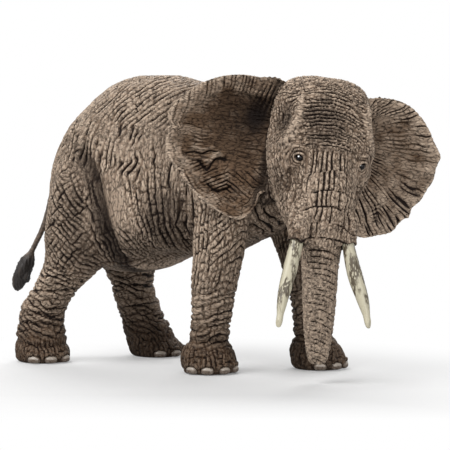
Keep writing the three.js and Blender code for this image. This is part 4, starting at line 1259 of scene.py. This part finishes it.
def carve_ear(local, out, node):
    """Height, wash, ridge and shade over an ear: a rolled top edge, a hollow dark partly with paint and
    partly with painted shade, a painted highlight along the rim, veins and hatching.
    """
    outward, up, _ = local.T
    right = node == "right_ear"
    flat = local[:, :2] + 0.7 * drift(local, 2.5, 57)[:, None]
    rim = from_rim(local)
    facing = fade(-0.1, 0.35, out)
    high = fade(-4, 6, up)
    wide = 4.0 + 1.5 * fade(16, 6, outward)
    band = high * fade(wide + 0.7, wide - 0.7, rim)
    turn = np.arctan2(up - 5, outward + 6)
    across = turn * 20
    spokes = weave(local, across / 1.1, 1.1, rim, 3.0, 41, 5.0, 0.4, 0.22, ties=0.35)
    hatch = weave(local, (outward + 0.15 * up) / 1.0, 1.0, rim, 3.0, 40, 4.0, 0.3, 0.22, ties=0.2)
    level = weave(local, up / 1.15, 1.15, outward, 2.0, 42, 4.0, 0.7, 0.22, ties=0.5)
    # Below the middle the creases meet in chevrons.
    chevrons = up + 0.62 * np.abs(outward - 11.5)
    falling = weave(local, chevrons / 1.15, 1.15, outward, 2.0, 43, 4.0, 0.3, 0.22, 1.2, ties=0.5)
    rising = weave(local, (up - 0.8 * outward) / 1.5, 1.5, outward, 2.4, 50, 4.0, 0.6, 0.2, ties=0.3)
    round_rim = weave(local, rim / 1.2, 1.2, across, 2.2, 44, 4.0, 0.5, 0.22, ties=0.6)
    small = creases(local, (0.9, 0.9, 0.9), 45, width=0.22, reach=0.4, size=2)
    low = fade(-3, -8, up)
    edge = fade(6, 3, rim)
    patch = fade(-0.4, 0.4, drift(local, 7, 46))
    middle = 0.8 * level * (1 - low) + 1.1 * falling * low
    middle = np.maximum(middle, 0.7 * rising * (1 - patch) * (1 - low))
    middle = middle * (0.65 + 0.35 * np.maximum(patch, low)) * (1 - 0.8 * edge)
    if right:
        root = bulge(flat, (4.0, 14.5), (6.5, 9))
        crease = middle + edge * (1 - high) * round_rim * 0.6
        crease = crease + hatch * band * 0.8 * (1 - fade(0, 0.4, root))
        cavity = bulge(flat, (7.0, 9.5), (13, 10)) * (1 - band)
        # The pit, a broad patch round it and the strip along the root are painted shade over the ear's dark
        # brown.
        pit = fade(0, 1.0, bulge(flat, (6.0, 9.5), (9.5, 12)))
        dark = np.maximum(pit, 0.7 * bulge(flat, (8, 8), (18, 17))) * (1 - band)
        dark = np.maximum(dark, 0.8 * fade(4.0, 2.0, outward))
        folds = sum(groove(flat, path, width) for path, width in EAR_POCKETS)
        lips = sum(groove(flat, path, width) for path, width in EAR_LIPS)
        waves = math.tau * (outward + 0.25 * up + 0.4 * drift(local, 3, 58)) / 1.3
        gathers = 0.8 * (1 + np.cos(waves)) * root
    else:
        crease = spokes * (0.35 + 0.65 * np.maximum(edge, patch)) + 0.6 * middle * (1 - patch)
        cavity = bulge(flat, (8, 10), (11, 8)) * (1 - band)
        # The far ear's hollow near the head takes painted shade.
        dark = 0.65 * bulge(flat, (3, 6), (11, 16)) * (1 - band)
        folds = lips = np.zeros_like(up)
        low_edge = fade(7, -3, up) * fade(12, 5, rim)
        waves = math.tau * (across + 0.8 * drift(local, 5, 47)) / 3.2
        gathers = 0.8 * (0.5 + 0.5 * np.cos(waves)) * low_edge
        waves = math.tau * (outward + 0.2 * up) / 1.6
        gathers += 0.5 * (1 + np.cos(waves)) * bulge(flat, (3, 16), (7, 6))
    back = weave(local, across / 2.2, 2.2, rim, 3.0, 48, 6.0, 0.5, 0.3, ties=0.6)
    crease = facing * np.maximum(crease, 0.15 * small) + (1 - facing) * np.maximum(0.6 * back, 0.35 * small)
    rolled = 0.9 * band * fade(0.3, 2.0, rim)
    height = facing * (rolled - 1.0 * cavity - 0.8 * folds + 0.5 * lips - 0.5 * gathers) - 0.5 * crease
    wash = crease + facing * (folds + 0.6 * gathers)
    # A painted highlight runs along the rim.
    light = 0.9 * fade(1.2, 0.3, rim) * (1 - fade(7, 2, outward) * low) + 0.15 * band * facing + 0.15 * edge
    light += 0.5 * lips + 0.1 * low * (1 - crease)
    paler = 0.05 + 0.3 * fade(16, 27, outward) if right else 0.5 + 0.2 * low
    light += paler + 0.4 * drift(local, 3, 49)
    return height, wash, (light - 0.6 * crease) * (1 - facing * dark), facing * dark


def quads(piece):
    """Joins a copy's triangles into quads, so that it subdivides evenly."""
    hold(piece)
    bpy.ops.object.mode_set(mode="EDIT")
    bpy.ops.mesh.select_all(action="SELECT")
    bpy.ops.mesh.tris_convert_to_quads(face_threshold=math.radians(40), shape_threshold=math.radians(60))
    bpy.ops.object.mode_set(mode="OBJECT")


class FIGURE_OT_ears(bpy.types.Operator):
    """Carves the two ears"""

    bl_idname = "figure.ears"
    bl_label = "Ears"

    def execute(self, context):
        material = hide_material(context.scene.elephant_paint, ear=True)
        for node in ("right_ear", "left_ear"):
            ear = copy_of(node, node + "_skin")
            quads(ear)
            finish_modifier(ear, "SUBSURF", levels=PIECE_LEVELS, render_levels=PIECE_LEVELS)
            mesh = ear.data
            zero = np.zeros((1, 3))
            refine(ear, (on_ear(facings(mesh), node) - on_ear(zero, node))[:, 2] > EAR_FRONT)
            points = places(mesh)
            out = facings(mesh)
            local = on_ear(points, node)
            ahead = (on_ear(out, node) - on_ear(zero, node))[:, 2]
            height, wash, ridge, shade = carve_ear(local, ahead, node)
            axes = on_ear(np.eye(3), node) - on_ear(zero, node)
            move_to(mesh, points + out * height[:, None] + ear_outline(local, node) @ axes.T)
            paint(mesh, "wash", wash)
            paint(mesh, "ridge", ridge)
            paint(mesh, "shade", shade)
            paint(mesh, "foot", np.zeros(len(points)))
            paint(mesh, "lay", np.zeros(len(points)))
            finished(ear, node, material)
        return {"FINISHED"}


class FIGURE_OT_tusks(bpy.types.Operator):
    """Rounds and washes the two tusks"""

    bl_idname = "figure.tusks"
    bl_label = "Tusks"

    def execute(self, context):
        material = ivory_material(context.scene.elephant_paint)
        for node in ("right_tusk", "left_tusk"):
            tusk = copy_of(node, node + "_ivory")
            quads(tusk)
            finish_modifier(tusk, "SUBSURF", levels=PIECE_LEVELS, render_levels=PIECE_LEVELS)
            mesh = tusk.data
            points = places(mesh)
            out = facings(mesh)
            up = points[:, 2]
            down = (up.max() - up) / np.ptp(up)
            streaks = creases(points, (0.5, 0.5, 3.0), 51, width=0.5, reach=0.4, size=3)
            specks = fade(0.1, 0.6, drift(points * (2.2, 2.2, 0.5), 0.9, 52))
            stain = fade(0.98, 0.7, down) * fade(-0.5, 0.3, drift(points * (1.6, 1.6, 0.4), 2.2, 53))
            wash = stain * np.maximum(streaks, specks)
            # The tip is rounder than the moulding's, and the root is darkened with the wash as painted shadow
            # from the cheek.
            lean = tusk_shift(points) if node == "left_tusk" else 0
            move_to(mesh, points + lean + out * (0.5 * fade(0.9, 0.99, down) - 0.1 * wash)[:, None])
            paint(mesh, "wash", np.maximum(0.85 * wash, fade(0.32, 0.24, down)))
            finished(tusk, node, material)
        return {"FINISHED"}


class FIGURE_OT_tail(bpy.types.Operator):
    """Shapes the tail and its tuft"""

    bl_idname = "figure.tail"
    bl_label = "Tail"

    def execute(self, context):
        material = tail_material(context.scene.elephant_paint)
        tail = copy_of("tail", "tail_skin")
        quads(tail)
        finish_modifier(tail, "SUBSURF", levels=PIECE_LEVELS, render_levels=PIECE_LEVELS)
        mesh = tail.data
        points = places(mesh)
        out = facings(mesh)
        up = points[:, 2]
        tuft = fade(32, 29, up)
        hairs = creases(points, (0.5, 0.5, 5.0), 61, width=0.5, reach=0.3, size=3)
        locks = creases(points, (1.3, 1.3, 9.0), 63, width=0.6, reach=0.6, size=4)
        rings = creases(points, (3.0, 3.0, 0.9), 62, width=0.4, reach=0.3, size=2)
        depth = tuft * (0.2 * hairs + 0.5 * locks) + (1 - tuft) * 0.12 * rings
        # The tuft is fuller than the moulding's, within the same overall length.
        fuller = points + out * (0.8 * tuft * fade(8, 12, up) - depth)[:, None]
        fuller[:, 0] = np.maximum(fuller[:, 0], points[:, 0].min())
        move_to(mesh, fuller)
        paint(mesh, "tuft", tuft * (1 - 0.4 * fade(0.5, 0.1, locks) * fade(-0.2, 0.4, drift(points, 2, 64))))
        paint(mesh, "wash", 0.7 * (tuft * np.maximum(hairs, locks) + (1 - tuft) * rings))
        finished(tail, "tail", material)
        return {"FINISHED"}


class FIGURE_OT_toenails(bpy.types.Operator):
    """Sets the fourteen pale toenails"""

    bl_idname = "figure.toenails"
    bl_label = "Toenails"

    def execute(self, context):
        material = nail_material(context.scene.elephant_paint)
        for node, (sole, width, turns) in FEET.items():
            for number, degrees in enumerate(turns, start=1):
                turn = math.radians(degrees)
                hold(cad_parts["head"])
                bpy.ops.object.select_all(action="DESELECT")
                bpy.ops.mesh.primitive_uv_sphere_add(segments=40, ring_count=24, radius=MM)
                nail = bpy.context.object
                nail.name = f"{node.removesuffix('_leg')}_toenail_{number}"
                mesh = nail.data
                points = places(mesh)
                # A squarer outline, a flatter face, a blunt lower edge and growth ridges up the nail.
                through, over, up = points.T
                square = (np.abs(over) ** 2.6 + np.abs(up) ** 2.6) ** (1 / 2.6) + 1e-6
                plain = np.hypot(over, up)
                over = over * plain / square
                up = np.where(up < 0, 0.86, 1.0) * up * plain / square
                through = np.sign(through) * np.abs(through) ** 0.8
                ridges = 0.03 * np.cos(26 * over) * fade(0, 0.5, through)
                deep, half, tall = NAIL_RADII
                shaped = np.stack([
                    (through - ridges) * deep + width / 2 + NAIL_PROUD - deep,
                    over * half * width,
                    up * tall + NAIL_LIFT], axis=1)
                turned = shaped @ np.array(Matrix.Rotation(turn, 3, "Z")).T
                move_to(mesh, turned + (*sole, 0.0) + BODY_ORIGIN)
                # A crescent high on the nail stays pale as a painted highlight, and the rest takes the foot's
                # wash.
                crescent = fade(0.0, 0.35, up) * fade(0.95, 0.75, np.hypot(over, up))
                stain = 0.85 - 0.7 * crescent + 0.3 * drift(points * (1, 3.5, 1), 0.5, 91)
                paint(mesh, "wash", stain)
                nail.data.materials.append(material)
                nail.data.shade_smooth()
                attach(nail, "root")
        return {"FINISHED"}


class FIGURE_OT_eyes(bpy.types.Operator):
    """Sets the two glossy eyes"""

    bl_idname = "figure.eyes"
    bl_label = "Eyes"

    def execute(self, context):
        material = eye_material(context.scene.elephant_paint)
        for name, spot in zip(("right_eye", "left_eye"), EYES):
            middle = from_head(spot)
            hold(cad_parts["head"])
            bpy.ops.object.select_all(action="DESELECT")
            bpy.ops.mesh.primitive_uv_sphere_add(
                segments=64, ring_count=32, radius=EYE_RADIUS * MM, location=Vector(middle) * MM)
            eye = bpy.context.object
            eye.name = name
            bpy.ops.object.transform_apply(location=True, rotation=True, scale=True)
            # The painted glint is high on the side of the eye that faces the figure's right.
            toward = (places(eye.data) - middle) @ np.array(GLINT_FACING) / EYE_RADIUS
            paint(eye.data, "glint", fade(0.955, 0.98, toward))
            eye.data.materials.append(material)
            eye.data.shade_smooth()
            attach(eye, "root")
        return {"FINISHED"}


# The stage

def add_lamp(name, place, aim, size, power):
    data = bpy.data.lights.new(name, "AREA")
    data.shape = "RECTANGLE"
    data.size, data.size_y = size
    data.energy = power
    lamp = bpy.data.objects.new(name, data)
    bpy.context.scene.collection.objects.link(lamp)
    lamp.location = place
    lamp.rotation_euler = (Vector(aim) - Vector(place)).to_track_quat("-Z", "Y").to_euler()


def floor_material(stage):
    """Matt white paper. The camera sees it lifted to plain white, and it keeps the figure's shadow."""
    material = new_material("white_paper_floor")
    place = add_node(material, "ShaderNodeTexCoord", output="Object")
    # Beyond 0.12 m from a place before the feet the paper is as white as the room, so that no horizon shows,
    # and so it is beyond 0.07 m straight ahead of that place.
    before = add_node(material, "ShaderNodeVectorMath", {0: place, 1: FLOOR_SHADOW}, operation="SUBTRACT")
    away = add_node(material, "ShaderNodeVectorMath", {0: before}, output="Value", operation="LENGTH")
    forward = add_node(
        material, "ShaderNodeVectorMath", {0: before, 1: FLOOR_AHEAD}, output="Value",
        operation="DOT_PRODUCT")
    far, ahead = (
        add_node(material, "ShaderNodeMapRange", {
            "Value": distance, "From Min": first, "From Max": last, "To Min": 0.0, "To Max": 1.0}, clamp=True)
        for distance, (first, last) in ((away, WHITE_ROUND), (forward, WHITE_AHEAD)))
    white_share = add_node(material, "ShaderNodeMath", {0: far, 1: ahead}, operation="MAXIMUM")
    paper = add_node(material, "ShaderNodeBsdfDiffuse", {"Color": rgba(stage.floor)})
    glow = add_node(material, "ShaderNodeEmission", {"Color": (1, 1, 1, 1), "Strength": stage.floor_glow})
    both = add_node(material, "ShaderNodeAddShader", {0: paper, 1: glow})
    white = add_node(material, "ShaderNodeEmission", {"Color": (1, 1, 1, 1), "Strength": 1.0})
    seen = add_node(material, "ShaderNodeMixShader", {0: white_share, 1: both, 2: white})
    camera_ray = add_node(material, "ShaderNodeLightPath", output="Is Camera Ray")
    mixed = add_node(material, "ShaderNodeMixShader", {0: camera_ray, 1: paper, 2: seen})
    add_node(material, "ShaderNodeOutputMaterial", {"Surface": mixed})
    return material


class FIGURE_OT_stage(bpy.types.Operator):
    """Sets the floor, the lamps, the world and the camera"""

    bl_idname = "figure.stage"
    bl_label = "Stage"

    def execute(self, context):
        scene = context.scene
        stage = scene.elephant_stage
        hold(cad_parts["head"])
        bpy.ops.object.select_all(action="DESELECT")
        bpy.ops.mesh.primitive_grid_add(x_subdivisions=8, y_subdivisions=8, size=6.0, location=(0, 0, 0))
        floor = bpy.context.object
        floor.name = "studio_floor"
        floor.data.materials.append(floor_material(stage))

        azimuth, elevation = stage.azimuth, stage.elevation
        back = Vector((
            math.sin(azimuth) * math.cos(elevation),
            -math.cos(azimuth) * math.cos(elevation),
            math.sin(elevation)))
        right = Vector((math.cos(azimuth), math.sin(azimuth), 0))
        target = Vector(stage.target)
        high = Vector((0, 0, 1))
        for name, place, size, power in (
                ("key_softbox", -0.4 * right + 0.3 * back + 0.55 * high, 0.5, stage.key),
                ("back_softbox", -0.45 * back + 0.45 * high, 0.6, stage.back),
                ("fill_softbox", 0.6 * back + 0.25 * right + 0.15 * high, 0.4, stage.fill)):
            add_lamp(name, target + place, target, (size, size), power)

        world = bpy.data.worlds.new("white_studio")
        scene.world = world
        world.use_nodes = True
        world.node_tree.nodes.clear()
        # The camera and what shines or is clear see a plain white room; the rest gets only its soft light.
        camera_ray, glossy_ray, clear_ray = (
            add_node(world, "ShaderNodeLightPath", output=f"Is {kind} Ray")
            for kind in ("Camera", "Glossy", "Transmission"))
        seen = add_node(world, "ShaderNodeMath", {0: camera_ray, 1: glossy_ray}, operation="MAXIMUM")
        either = add_node(world, "ShaderNodeMath", {0: seen, 1: clear_ray}, operation="MAXIMUM")
        bright = add_node(world, "ShaderNodeBackground", {"Color": (1, 1, 1, 1), "Strength": 1.0})
        soft = add_node(world, "ShaderNodeBackground", {"Color": (1, 1, 1, 1), "Strength": stage.sky})
        mixed = add_node(world, "ShaderNodeMixShader", {0: either, 1: soft, 2: bright})
        add_node(world, "ShaderNodeOutputWorld", {"Surface": mixed})

        camera = bpy.data.objects.new("camera", bpy.data.cameras.new("camera"))
        scene.collection.objects.link(camera)
        camera.data.lens = stage.focal
        camera.data.sensor_width = 36.0
        camera.data.clip_start = 0.01
        camera.data.clip_end = 20.0
        camera.location = target + back * stage.distance
        camera.rotation_mode = "QUATERNION"
        camera.rotation_quaternion = (-back).to_track_quat("-Z", "Y")
        scene.camera = camera
        scene.view_settings.view_transform = "Standard"
        return {"FINISHED"}


OPERATORS = (
    FIGURE_OT_hide, FIGURE_OT_ears, FIGURE_OT_tusks, FIGURE_OT_tail, FIGURE_OT_toenails, FIGURE_OT_eyes,
    FIGURE_OT_stage)


class FIGURE_PT_dressing(bpy.types.Panel):
    """Lists the steps of the dressing and their settings"""

    bl_idname = "FIGURE_PT_dressing"
    bl_label = "Toy Elephant"
    bl_space_type = "VIEW_3D"
    bl_region_type = "UI"
    bl_category = "Toy Elephant"

    def draw(self, context):
        for operator in OPERATORS:
            self.layout.operator(operator.bl_idname)
        for name, group in SETTINGS.items():
            box = self.layout.box()
            box.label(text=group.__doc__)
            for item in group.__annotations__:
                box.prop(getattr(context.scene, name), item)


def register():
    for group in SETTINGS.values():
        bpy.utils.register_class(group)
    for operator in OPERATORS:
        bpy.utils.register_class(operator)
    bpy.utils.register_class(FIGURE_PT_dressing)
    for name, group in SETTINGS.items():
        setattr(bpy.types.Scene, name, bpy.props.PointerProperty(type=group))


def unregister():
    for name in SETTINGS:
        delattr(bpy.types.Scene, name)
    bpy.utils.unregister_class(FIGURE_PT_dressing)
    for operator in reversed(OPERATORS):
        bpy.utils.unregister_class(operator)
    for group in reversed(list(SETTINGS.values())):
        bpy.utils.unregister_class(group)


def main():
    register()
    bpy.ops.figure.hide()
    bpy.ops.figure.ears()
    bpy.ops.figure.tusks()
    bpy.ops.figure.tail()
    bpy.ops.figure.toenails()
    bpy.ops.figure.eyes()
    bpy.ops.figure.stage()
    bpy.context.view_layer.update()


if __name__ == "__main__":
    main()
